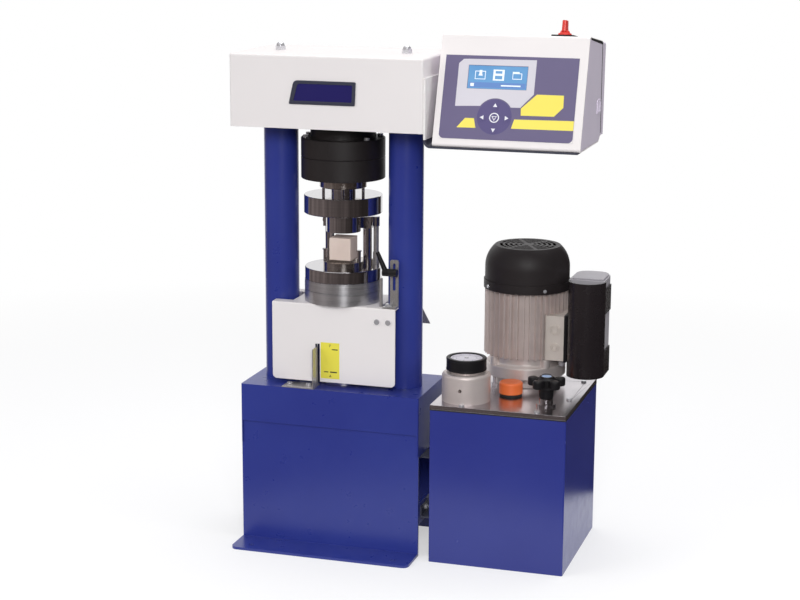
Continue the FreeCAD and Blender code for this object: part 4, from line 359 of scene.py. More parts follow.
class Paints:
    """The finishes of the painted sheet and the plastics."""
    BLUE = Finish("Royal Blue Enamel", "blue_paint", (42, 53, 136), (47, 60, 143), 0.26, 0.34,
                  depth=0.06, dust=0.03, worn=(70, 80, 150))
    BLUE_SIDE = Finish("Royal Blue Enamel Of The Tank", "blue_paint", (44, 53, 134), (48, 58, 140),
                       0.2, 0.28, depth=0.04)
    WHITE = Finish("Off White Powder Coat", "white_paint", (238, 233, 233), (234, 229, 229), 0.38,
                   0.48, depth=0.12, dust=0.03, worn=(240, 239, 237))
    LILAC = Finish("Lilac Grey Side Enamel", "lilac_plastic", (226, 217, 233), (220, 211, 228),
                   0.35, 0.45, depth=0.1)
    BLACK = Finish("Satin Black Coat", "black_coat", (26, 22, 23), (32, 27, 28), 0.4, 0.52,
                   depth=0.2, dust=0.05, worn=(96, 92, 92), values=(("Size", 520.0),))
    BRACKET = Finish("Dark Slate Coat", "black_coat", (52, 54, 70), (60, 62, 78), 0.35, 0.45,
                     depth=0.1)
    COWL = Finish("Cowl Black", "black_coat", (32, 27, 29), (38, 33, 34), 0.44, 0.54, depth=0.15,
                  dust=0.02, values=(("Size", 900.0),), gloss=0.3)
    PLASTIC = Finish("Black Moulded Plastic", "black_plastic", (18, 17, 20), (24, 22, 25), 0.36,
                     0.5, depth=0.1, worn=(60, 60, 64), values=(("Size", 1300.0),), gloss=0.3)
    SLEEVE = Finish("Glossy Black Plastic", "black_plastic", (30, 25, 28), (36, 31, 33), 0.2, 0.32,
                    depth=0.05, values=(("Size", 300.0),))
    GREY_PLASTIC = Finish("Grey Moulded Plastic", "grey_plastic", (168, 164, 170), (158, 155, 161),
                          0.4, 0.5, depth=0.1)
    ORANGE = Finish("Orange Cap Plastic", "orange_plastic", (240, 118, 60), (230, 106, 48), 0.34,
                    0.46, depth=0.12, values=(("Size", 900.0),))
    RED = Finish("Red Switch Plastic", "red_plastic", (226, 62, 52), (212, 50, 44), 0.28, 0.38,
                 depth=0.05)
    FOIL = Finish("Purple Front Foil", "overlay_foil", (106, 98, 134), (100, 92, 128), 0.4, 0.52,
                  depth=0.25, values=(("Size", 1600.0),))
    FOIL_DARK = Finish("Dark Purple Foil", "overlay_foil", (90, 81, 130), (84, 75, 124), 0.4, 0.5,
                       depth=0.2, values=(("Size", 1600.0),))
    FOIL_GREY = Finish("Pale Grey Foil", "overlay_foil", (214, 211, 220), (208, 205, 214), 0.4, 0.5,
                       depth=0.2, values=(("Size", 1600.0),))
    FOIL_YELLOW = Finish("Yellow Foil", "overlay_foil", (248, 232, 104), (244, 226, 92), 0.4, 0.5,
                         depth=0.2, values=(("Size", 1600.0),))
    INK = Finish("White Ink", "overlay_foil", (236, 236, 242), (228, 228, 236), 0.4, 0.5, depth=0.1)
    INK_DARK = Finish("Dark Ink", "overlay_foil", (60, 56, 40), (70, 66, 50), 0.5, 0.6, depth=0.05)
    SCREEN = Finish("Lit Display", "display_foil", (98, 150, 200), (110, 160, 206), 0.12, 0.16,
                    depth=0.01, glow=0.12, values=(("Drift", 12.0),))
    SCREEN_BAND = Finish("Display Band", "display_foil", (104, 138, 196), (110, 144, 200), 0.14,
                         0.2, depth=0.01, glow=0.1)
    SCREEN_INK = Finish("Display Glyph", "display_foil", (238, 246, 252), (232, 242, 250), 0.2,
                        0.25, depth=0.01, glow=0.12)
    LABEL = Finish("Yellow Label", "white_paint", (240, 230, 84), (236, 224, 74), 0.35, 0.45,
                   depth=0.05)
    NAVY = Finish("Badge Field", "white_paint", (30, 26, 92), (36, 32, 100), 0.18, 0.26, depth=0.03,
                  coat=0.5)
    DIAL = Finish("Pale Dial Face", "overlay_foil", (222, 218, 228), (214, 210, 222), 0.3, 0.38,
                  depth=0.04)
    DIAL_INK = Finish("Grey Dial Print", "overlay_foil", (128, 124, 138), (140, 136, 150), 0.4, 0.5,
                      depth=0.03)
    INLAY = Finish("Pale Blue Inlay", "black_plastic", (158, 184, 220), (148, 174, 212), 0.3, 0.38,
                   depth=0.04)
    GASKET = Finish("Black Rubber", "rubber", (24, 24, 25), (32, 32, 33), 0.6, 0.75,
                    effect=Effect.CAST, depth=0.2)
    MORTAR = Finish("Cured Mortar", "mortar", (228, 210, 200), (218, 199, 189), 0.85, 0.95,
                    effect=Effect.CAST, depth=0.7, reach=0.0006, values=(("Size", 900.0),))


class Metals:
    """The bare metals of the machine."""
    MIRROR = Finish("Polished Platen Steel", "bright_steel", (206, 204, 206), (196, 194, 198), 0.05,
                    0.12, metal=1.0, effect=Effect.TURNED, depth=0.03, reach=0.00002,
                    values=(("Pitch", 2600.0),))
    SEAT = Finish("Turned Seat Steel", "bright_steel", (206, 200, 194), (194, 188, 183), 0.14, 0.22,
                  metal=1.0, effect=Effect.TURNED, depth=0.06, reach=0.00003, spread=0.85,
                  values=(("Pitch", 2200.0),))
    DRUM = Finish("Turned Drum Steel", "machined_steel", (206, 205, 208), (190, 190, 194), 0.26,
                  0.36, metal=0.9, effect=Effect.TURNED, depth=0.1, reach=0.00004, spread=0.8,
                  values=(("Pitch", 1800.0),))
    GROUND = Finish("Ground Steel", "machined_steel", (200, 197, 197), (184, 181, 181), 0.22, 0.36,
                    metal=0.75, effect=Effect.BRUSHED, depth=0.1, reach=0.00004,
                    values=(("Stretch", (1400.0, 1400.0, 30.0)),))
    BLASTED = Finish("Blasted Regulator Steel", "machined_steel", (222, 211, 208), (212, 202, 199),
                     0.44, 0.52, metal=0.6, effect=Effect.CAST, depth=0.12,
                     values=(("Size", 1500.0),))
    LID = Finish("Bright Lid Sheet", "stainless_sheet", (206, 200, 204), (194, 189, 194), 0.16,
                 0.28, metal=1.0, effect=Effect.BRUSHED, depth=0.05, reach=0.00003,
                 values=(("Stretch", (1200.0, 20.0, 1200.0)),))
    ZINC = Finish("Zinc Plated Screws", "zinc_steel", (226, 226, 230), (212, 213, 218), 0.14, 0.28,
                  metal=0.65, effect=Effect.CAST, depth=0.1, values=(("Size", 900.0),))
    BELL = Finish("Machined Bell Aluminium", "cast_aluminium", (226, 217, 214), (214, 206, 203),
                  0.34, 0.46, metal=0.6, effect=Effect.CAST, depth=0.15, reach=0.0002)
    ALUMINIUM = Finish("Cast Aluminium", "cast_aluminium", (228, 215, 211), (214, 202, 198), 0.32,
                       0.46, metal=0.6, effect=Effect.CAST, depth=0.3, reach=0.0002)
    BOX = Finish("Terminal Box Aluminium", "cast_aluminium", (220, 211, 203), (212, 203, 196), 0.45,
                 0.55, metal=0.45, effect=Effect.CAST, depth=0.3, reach=0.0002)
    IRON = Finish("Dark Machined Iron", "dark_iron", (60, 58, 58), (72, 70, 70), 0.4, 0.55,
                  metal=0.9, effect=Effect.CAST, depth=0.2)
    BLACKENED = Finish("Blackened Steel", "black_coat", (30, 29, 31), (40, 38, 40), 0.3, 0.42,
                       metal=0.3, effect=Effect.CAST, depth=0.15, worn=(90, 88, 90))


class Workshop:
    """Makes and dresses meshes, and hangs each one on its CAD body."""

    def __init__(self) -> None:
        """Start the count of pieces."""
        self.count = 0

    @staticmethod
    def show(name: str, mesh: Mesh, material: bpy.types.Material) -> bpy.types.Object:
        """Put a built mesh into the scene.

        Args:
            name: The object's name.
            mesh: The mesh, in the row frame in metres; it is freed.
            material: Its material.

        Returns:
            The object.
        """
        data = bpy.data.meshes.new(name)
        mesh.to_mesh(data)
        mesh.free()
        shown = bpy.data.objects.new(name, data)
        bpy.context.scene.collection.objects.link(shown)
        data.materials.append(material)
        return shown

    @staticmethod
    def break_edges(piece: bpy.types.Object, edge: float, segments: int, angle: float,
                    miter: str) -> None:
        """Break a mesh's sharp edges with a bevel.

        Args:
            piece: The mesh object.
            edge: Width in millimetres.
            segments: Runs across the bevel.
            angle: Smallest angle of an edge that is broken, in degrees.
            miter: Blender's name of the way that bevels meet outside.
        """
        bevel = piece.modifiers.new("Edges", "BEVEL")
        bevel.width = edge * MM
        bevel.segments = segments
        bevel.limit_method = "ANGLE"
        bevel.angle_limit = math.radians(angle)
        bevel.miter_outer = miter

    @staticmethod
    def shade(piece: bpy.types.Object, weight: int) -> None:
        """Shade a mesh smooth, with normals that favour its large faces by a weight."""
        faces = piece.data.polygons
        faces.foreach_set("use_smooth", [True] * len(faces))
        even = piece.modifiers.new("Even Normals", "WEIGHTED_NORMAL")
        even.keep_sharp = True
        even.weight = weight

    def dress(self, finish: Finish, **edges: float) -> None:
        """Give CAD nodes their material and break their sharp edges.

        Args:
            finish: What they are finished with.
            **edges: Node name to the width of its broken edges in millimetres, or nought.
        """
        for name, edge in edges.items():
            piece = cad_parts[name]
            piece.data.materials.clear()
            piece.data.materials.append(finish.build())
            piece.modifiers.new("Weld", "WELD").merge_threshold = 0.000002
            if edge > 0:
                self.break_edges(piece, edge, 2, 32.0, "MITER_ARC")
            self.shade(piece, 80)
            LOG.info("%s: %s", name, finish.name)

    def adopt(self, name: str, mesh: Mesh, finish: Finish, body: str,
              replaces: Sequence[str] = (), edge: float = 0.0, smooth: bool = True,
              skin: float = 0.0) -> None:
        """Turn a built mesh into a piece that rides on a body.

        Args:
            name: The piece's name.
            mesh: The mesh, in the row frame in metres; it is freed.
            finish: What it is finished with.
            body: The CAD body that carries it.
            replaces: CAD nodes that it stands for.
            edge: Width of a bevel on its sharp edges, in millimetres.
            smooth: Whether it is shaded smooth.
            skin: Voxel size in millimetres that joins overlapping forms into one moulded skin.
        """
        bmesh.ops.remove_doubles(mesh, verts=mesh.verts, dist=1e-6)
        bmesh.ops.recalc_face_normals(mesh, faces=mesh.faces)
        piece = self.show(name, mesh, finish.build())
        if skin > 0:
            joined = piece.modifiers.new("Skin", "REMESH")
            joined.mode = "VOXEL"
            joined.voxel_size = skin * MM
            joined.use_smooth_shade = True
            flow = piece.modifiers.new("Flow", "SMOOTH")
            flow.factor = 0.5
            flow.iterations = 5
        if edge > 0:
            self.break_edges(piece, edge, 3, 30.0, "MITER_SHARP")
        if smooth:
            self.shade(piece, 50)
        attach(piece, body)
        if replaces:
            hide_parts(*replaces)
        self.count += 1
        LOG.info("%s: %s, on %s", name, finish.name, body)


SHOP = Workshop()


class Shape:
    """Mesh code for the forms that the pieces are made of. Lengths are in millimetres."""

    @staticmethod
    def box(left: float, low: float, right: float, high: float) -> list[Pair]:
        """Give the four corners of a box, from its low left one."""
        return [(left, low), (right, low), (right, high), (left, high)]

    @staticmethod
    def ring(radius: float, steps: int = 48, centre: Pair = (0.0, 0.0)) -> list[Pair]:
        """Give the points of a circle."""
        return [(centre[0] + radius * math.cos(2 * math.pi * k / steps),
                 centre[1] + radius * math.sin(2 * math.pi * k / steps)) for k in range(steps)]

    @staticmethod
    def spot(centre: Pair, radius: float, angle: float) -> Pair:
        """Give the point of a circle at an angle in radians."""
        return centre[0] + radius * math.cos(angle), centre[1] + radius * math.sin(angle)

    @staticmethod
    def soften(points: Outline, radii: Sequence[float], steps: int = 4) -> list[Pair]:
        """Round the corners of an outline.

        Args:
            points: The corners.
            radii: The radius at each corner.
            steps: Straight runs in each rounded corner.

        Returns:
            The rounded outline.
        """
        made: list[Pair] = []
        for i, (here, radius) in enumerate(zip(points, radii)):
            spot = Vector(here)
            before = Vector(points[i - 1]) - spot
            after = Vector(points[(i + 1) % len(points)]) - spot
            reach = min(radius, before.length * 0.49, after.length * 0.49)
            start = spot + before.normalized() * reach
            end = spot + after.normalized() * reach
            for k in range(steps + 1):
                t = k / steps
                on = (1 - t) ** 2 * start + 2 * t * (1 - t) * spot + t ** 2 * end
                made.append((on.x, on.y))
        return made

    @staticmethod
    def lathe(profile: Outline, centre: Pair, segments: int = 96,
              into: Optional[Mesh] = None) -> Mesh:
        """Turn a profile of radius and height about an upright axis.

        Args:
            profile: Radius and height of each point.
            centre: The axis.
            segments: Steps round the axis.
            into: The mesh that it is added to, or none for a new one.

        Returns:
            The mesh.
        """
        mesh = into or bmesh.new()
        rings = []
        for radius, height in profile:
            around = Shape.ring(radius, segments, centre) if radius > 1e-6 else [centre]
            rings.append([mesh.verts.new((x * MM, y * MM, height * MM)) for x, y in around])
        for low, high in zip(rings, rings[1:]):
            for k in range(segments):
                after = (k + 1) % segments
                corners = [low[k % len(low)], low[after % len(low)],
                           high[after % len(high)], high[k % len(high)]]
                unique = list(dict.fromkeys(corners))
                if len(unique) > 2:
                    mesh.faces.new(unique)
        return mesh

    @staticmethod
    def slab(outline: Outline, low: float, high: float, place: Placer,
             into: Optional[Mesh] = None, top_inset: float = 0.0) -> Mesh:
        """Raise an outline into a plate.

        Args:
            outline: The corners, in order.
            low: Height of the lower face.
            high: Height of the upper face.
            place: Turns across, up and out into a point of the row frame, in metres.
            into: The mesh that it is added to, or none for a new one.
            top_inset: How far the upper face's corners move to the middle.

        Returns:
            The mesh.
        """
        mesh = into or bmesh.new()
        middle = Vector((sum(p[0] for p in outline), sum(p[1] for p in outline))) / len(outline)
        lower, upper = [], []
        for across, up in outline:
            lower.append(mesh.verts.new(place(across, up, low)))
            pull = middle - Vector((across, up))
            moved = Vector((across, up)) + pull.normalized() * top_inset
            upper.append(mesh.verts.new(place(moved.x, moved.y, high)))
        mesh.faces.new(lower[::-1])
        mesh.faces.new(upper)
        for k in range(len(outline)):
            after = (k + 1) % len(outline)
            mesh.faces.new([lower[k], lower[after], upper[after], upper[k]])
        return mesh

    @staticmethod
    def band(outer: Outline, inner: Outline, low: float, high: float, place: Placer,
             into: Optional[Mesh] = None) -> Mesh:
        """Raise the area between two outlines with as many points each.

        Args:
            outer: The outer outline.
            inner: The inner outline.
            low: Height of the lower face.
            high: Height of the upper face.
            place: Turns across, up and out into a point of the row frame, in metres.
            into: The mesh that it is added to, or none for a new one.

        Returns:
            The mesh.
        """
        mesh = into or bmesh.new()
        rows = [[mesh.verts.new(place(a, b, height)) for a, b in line]
                for line, height in ((outer, low), (outer, high), (inner, high), (inner, low))]
        for first, second in zip(rows, rows[1:] + rows[:1]):
            for k in range(len(first)):
                after = (k + 1) % len(first)
                mesh.faces.new([first[k], first[after], second[after], second[k]])
        return mesh


def on_floor(across: float, up: float, out: float) -> Vector:
    """Read an outline in plan: across is X, up is Y and out is the height."""
    return Vector((across, up, out)) * MM


def facing_front(y: float) -> Placer:
    """Make a placer for an upright front face at a place along Y."""
    return lambda across, up, out: Vector((across, y - out, up)) * MM


def facing_right(x: float) -> Placer:
    """Make a placer of depth and height for an upright right face at a place along X."""
    return lambda back, up, out: Vector((x + out, back, up)) * MM


def sloping(start: Pair, end: Pair) -> Placer:
    """Make a placer for a face that slopes from one edge to another.

    Args:
        start: The edge that it starts from, as Y and Z in millimetres.
        end: The edge that it runs to, as Y and Z.

    Returns:
        A placer of X, distance from the start and height above the face.
    """
    along = Vector((0.0, end[0] - start[0], end[1] - start[1])).normalized()
    normal = Vector((0.0, -along.z, along.y))
    return lambda across, up, out: (Vector((across, *start)) + along * up + normal * out) * MM


def millimetres(box: Sequence[Sequence[float]]) -> list[list[float]]:
    """Turn a box's two corners from metres to millimetres."""
    return [[c / MM for c in corner] for corner in box]


@dataclass(frozen=True)
class Lamp:
    """A soft lamp over the machine.

    Attributes:
        name: Its name.
        spot: Where it hangs, in metres.
        aim: What it points at, in metres.
        size: Its width in metres.
        power: Its power in watts.
        tall: Its height as a share of its width.
    """

    name: str
    spot: Triple
    aim: Triple
    size: float
    power: float
    tall: float = 1.0

    def hang(self) -> None:
        """Put the lamp into the scene."""
        data = bpy.data.lights.new(self.name, "AREA")
        data.shape = "RECTANGLE"
        data.size = self.size
        data.size_y = self.size * self.tall
        data.energy = self.power
        lamp = bpy.data.objects.new(self.name, data)
        bpy.context.scene.collection.objects.link(lamp)
        lamp.location = self.spot
        way = Vector(self.aim) - Vector(self.spot)
        lamp.rotation_euler = way.to_track_quat("-Z", "Y").to_euler()


@dataclass
class Studio:
    """The plain floor, the soft light and the camera.

    Attributes:
        lens: Focal length of the camera on its sensor.
        sensor: Width of the sensor.
        spot: The camera's place in millimetres.
        yaw: Turn of the camera to the left, in degrees.
        pitch: Tilt down, in degrees.
        roll: Turn about its own line of sight, in degrees.
        floor: The floor's left, front, right and back edge in millimetres.
        floor_white: Share of the floor's white that shadow doesn't reach.
        floor_fade: Where shadow starts and ends to fade from the floor, in metres.
        curtain_radius: Distance of the dark curtain, in metres.
        curtain_foot: How near to the object its foot runs along the floor, in metres.
        curtain_span: Where it starts and stops round the object, in degrees from the right.
        curtain_steps: Straight runs round it.
        surround: Share of the white surround that lights the object.
        lamps: The lamps.
    """

    lens: float = 83.16
    sensor: float = 36.0
    spot: Triple = (1082.11, -3183.69, 1194.93)
    yaw: float = 16.98
    pitch: float = 12.40
    roll: float = 0.30
    floor: Quad = (-14000, -8000, 14000, 20000)
    floor_white: float = 0.5
    floor_fade: Pair = (1.0, 2.4)
    curtain_radius: float = 1.9
    curtain_foot: float = 0.5
    curtain_span: Pair = (-205.0, 75.0)
    curtain_steps: int = 72
    surround: float = 0.42
    lamps: tuple[Lamp, ...] = (
        Lamp("key", (1.1, -3.1, 2.0), (0.1, 0.0, 0.55), 0.9, 46.0),
        Lamp("strip", (0.98, -2.9, 1.5), (0.1, 0.0, 0.5), 0.16, 9.0, 9.0),
        Lamp("fill", (-2.7, -2.6, 2.4), (0.1, 0.0, 0.5), 2.4, 44.0),
        Lamp("right", (3.6, -0.3, 1.7), (0.3, 0.1, 0.7), 1.6, 24.0),
        Lamp("top", (0.2, 0.6, 3.6), (0.1, 0.0, 0.5), 2.4, 52.0))

    def make_camera(self) -> None:
        """Place the camera where the photograph was taken from."""
        data = bpy.data.cameras.new("Camera")
        data.lens = self.lens
        data.sensor_width = self.sensor
        data.clip_start, data.clip_end = 0.1, 60.0
        eye = bpy.data.objects.new("Camera", data)
        bpy.context.scene.collection.objects.link(eye)
        yaw, pitch, roll = (math.radians(v) for v in (self.yaw, self.pitch, self.roll))
        back = Vector((math.sin(yaw) * math.cos(pitch), -math.cos(yaw) * math.cos(pitch),
                       math.sin(pitch)))
        right = Vector((math.cos(yaw), math.sin(yaw), 0.0))
        up = right.cross(-back)
        across = math.cos(roll) * right + math.sin(roll) * up
        over = -math.sin(roll) * right + math.cos(roll) * up
        turn = Matrix((across, over, back)).transposed()
        eye.matrix_world = Matrix.Translation(Vector(self.spot) * MM) @ turn.to_4x4()
        bpy.context.scene.camera = eye

    def make_world(self) -> None:
        """Make a white surround for the eye and for gloss, and a softer one for light."""
        world = bpy.data.worlds.new("Studio")
        bpy.context.scene.world = world
        w = Wiring.of(world)
        strength = w.ramp(w.in_view(), 0.0, 1.0, self.surround, 1.0)
        paper = w.add("Background", {"Color": PAPER_WHITE, "Strength": strength})
        w.add("OutputWorld", {"Surface": paper.outputs[0]})

    def make_floor(self) -> None:
        """Lay the pale floor, which is white to the eye but for the object's shadow."""
        paper = bpy.data.materials.new("Studio Paper")
        w = Wiring.of(paper)
        seen = w.in_view()
        shade = w.add("BsdfDiffuse", {"Color": (0.5, 0.5, 0.51, 1.0)})
        white = w.add("Emission", {"Color": PAPER_WHITE,
                                   "Strength": w.math("MULTIPLY", seen, self.floor_white)})
        both = w.add("AddShader", {"0": shade.outputs[0], "1": white.outputs[0]})
        far = w.add("Emission", {"Color": PAPER_WHITE, "Strength": seen})
        away = w.add("VectorMath", {"0": w.where()}, operation="LENGTH").outputs["Value"]
        blend = w.add("MixShader", {"0": w.ramp(away, *self.floor_fade), "1": both.outputs[0],
                                    "2": far.outputs[0]})
        w.add("OutputMaterial", {"Surface": blend.outputs[0]})
        floor = SHOP.show("floor", Shape.slab(Shape.box(*self.floor), -4.0, -0.05, on_floor), paper)

    def make_curtain(self) -> None:
        """Hang a dark curtain round the front, which only gloss sees, as in a studio."""
        mesh = bmesh.new()
        start, stop = self.curtain_span
        section = ((self.curtain_foot, 0.004), (self.curtain_radius, 0.012),
                   (self.curtain_radius, 1.4), (self.curtain_radius, 3.2))
        rows = []
        for k in range(self.curtain_steps + 1):
            angle = math.radians(start + (stop - start) * k / self.curtain_steps)
            rows.append([mesh.verts.new((0.15 + r * math.cos(angle), r * math.sin(angle), z))
                         for r, z in section])
        for left, right in zip(rows, rows[1:]):
            for k in range(len(section) - 1):
                mesh.faces.new([left[k], right[k], right[k + 1], left[k + 1]])
        cloth = bpy.data.materials.new("Studio Curtain")
        w = Wiring.of(cloth)
        parts = w.add("SeparateXYZ", {"0": w.where()}).outputs
        turn = w.math("ARCTAN2", parts["X"], w.math("MULTIPLY", parts["Y"], -1.0))
        folds = w.noise(w.add("CombineXYZ", {"0": turn}).outputs[0], 3.4, 2.0)
        shade = w.math("MULTIPLY", w.ramp(turn, -1.9, 1.3, 2.6, 0.35),
                       w.ramp(folds, 0.3, 0.7, 0.5, 1.5))
        glow = w.add("Emission", {"Color": (0.088, 0.072, 0.068, 1.0), "Strength": shade})
        w.add("OutputMaterial", {"Surface": glow.outputs[0]})
        hung = SHOP.show("curtain", mesh, cloth)
        for ray in ("camera", "diffuse", "shadow", "transmission"):
            setattr(hung, "visible_" + ray, False)

    def set_up(self) -> None:
        """Set up the camera, the surround, the floor, the curtain and the lamps."""
        bpy.context.scene.view_settings.view_transform = "Standard"
        self.make_camera()
        self.make_world()
        self.make_floor()
        self.make_curtain()
        for lamp in self.lamps:
            lamp.hang()


@dataclass
class LoadFrame:
    """The base, the columns and the crosshead.

    Attributes:
        badge: Corners of the badge on the crosshead cover, across and up.
        field: Corners of the badge's navy field.
        badge_y: The cover's front face.
        badge_rise: Thickness of the badge.
    """

    badge: tuple[Pair, ...] = ((-67.7, 829.2), (56.5, 829.2), (58.0, 871.6), (-58.0, 871.6))
    field: tuple[Pair, ...] = ((-58.5, 835.4), (50.3, 835.4), (51.6, 865.6), (-50.5, 865.6))
    badge_y: float = -101.6
    badge_rise: float = 2.2

    def dress(self) -> None:
        """Finish the CAD nodes of the frame."""
        SHOP.dress(Paints.BLUE, base_legs=0.6, base_side_rails=0.6, base_hood=0.6, columns=0.3)
        SHOP.dress(Paints.WHITE, crosshead_cover=0.3)
        SHOP.dress(Metals.IRON, cylinder_block=0.8, crosshead_block=0.8)
        SHOP.dress(Metals.ZINC, fasteners=0.3)
        SHOP.dress(Paints.GASKET, seals=0.2)
        SHOP.dress(Paints.BRACKET, tank_brackets=0.4)

    def make_badge(self) -> None:
        """Make the bare badge: a bevelled grey frame round a navy field."""
        place = facing_front(self.badge_y)
        outer = Shape.soften(self.badge, (3.0, 3.0, 3.0, 8.0))
        inner = Shape.soften(self.field, (2.0, 2.0, 2.0, 5.0))
        rim = Shape.band(outer, inner, 0.0, self.badge_rise, place)
        SHOP.adopt("badge_frame", rim, Paints.BRACKET, "frame", edge=0.7)
        plate = Shape.slab(inner, 0.0, self.badge_rise * 0.6, place)
        SHOP.adopt("badge_field", plate, Paints.NAVY, "frame", edge=0.1)

    def build(self) -> None:
        """Make the whole sub-assembly."""
        self.dress()
        self.make_badge()


@dataclass
class LoadTrain:
    """The load cell, the platens, the ram and the jig.

    Attributes:
        label: Low left and high right corner of the stroke label.
        label_y: The ram cover's front face.
        marks: Middle, width and height of each mark on the label.
    """

    label: Quad = (-24.3, 318.5, 12.2, 386.8)
    label_y: float = -60.0
    marks: tuple[Quad, ...] = (
        (-6.0, 382.6, 3.4, 1.3), (-6.4, 379.8, 1.4, 1.8), (3.2, 374.2, 11.5, 2.0),
        (-13.5, 331.2, 8.5, 1.9), (0.6, 331.2, 13.5, 2.4), (-5.6, 322.4, 4.2, 1.3),
        (-5.6, 324.8, 1.3, 2.2))

    def dress(self) -> None:
        """Finish the CAD nodes of the load train."""
        SHOP.dress(Paints.BLACK, load_cell_lower=0.3, load_cell_upper=0.3)
        SHOP.dress(Metals.MIRROR, upper_platen=0.2, lower_platen=0.2, ram_piston=0.2,
                   jig_posts=0.3, jig_plunger=0.3)
        SHOP.dress(Metals.SEAT, ball_seat=0.2, jig_base=0.2)
        SHOP.dress(Metals.GROUND, jig_spring_tube=0.2, stop_bracket=0.3, stroke_pointer=0.3)
        SHOP.dress(Metals.DRUM, ram_drum=0.3)
        SHOP.dress(Paints.WHITE, ram_cover=0.3)
        SHOP.dress(Metals.ZINC, cover_screws=0.4)
        SHOP.dress(Metals.BLACKENED, stop_carriage=0.5)
        SHOP.dress(Paints.PLASTIC, clamp_lever=1.2)
        SHOP.dress(Paints.MORTAR, mortar_cube=0.6)

    def make_label(self) -> None:
        """Make the yellow stroke label with its plain marks."""
        place = facing_front(self.label_y)
        sheet = Shape.slab(Shape.box(*self.label), 0.0, 0.15, place)
        SHOP.adopt("stroke_label", sheet, Paints.LABEL, "ram", smooth=False)
        marks = bmesh.new()
        for across, up, wide, tall in self.marks:
            Shape.slab(Shape.box(across - wide / 2, up - tall / 2, across + wide / 2,
                                 up + tall / 2), 0.1, 0.22, place, into=marks)
        SHOP.adopt("stroke_marks", marks, Paints.INK_DARK, "ram", smooth=False)

    def build(self) -> None:
        """Make the whole sub-assembly."""
        self.dress()
        self.make_label()


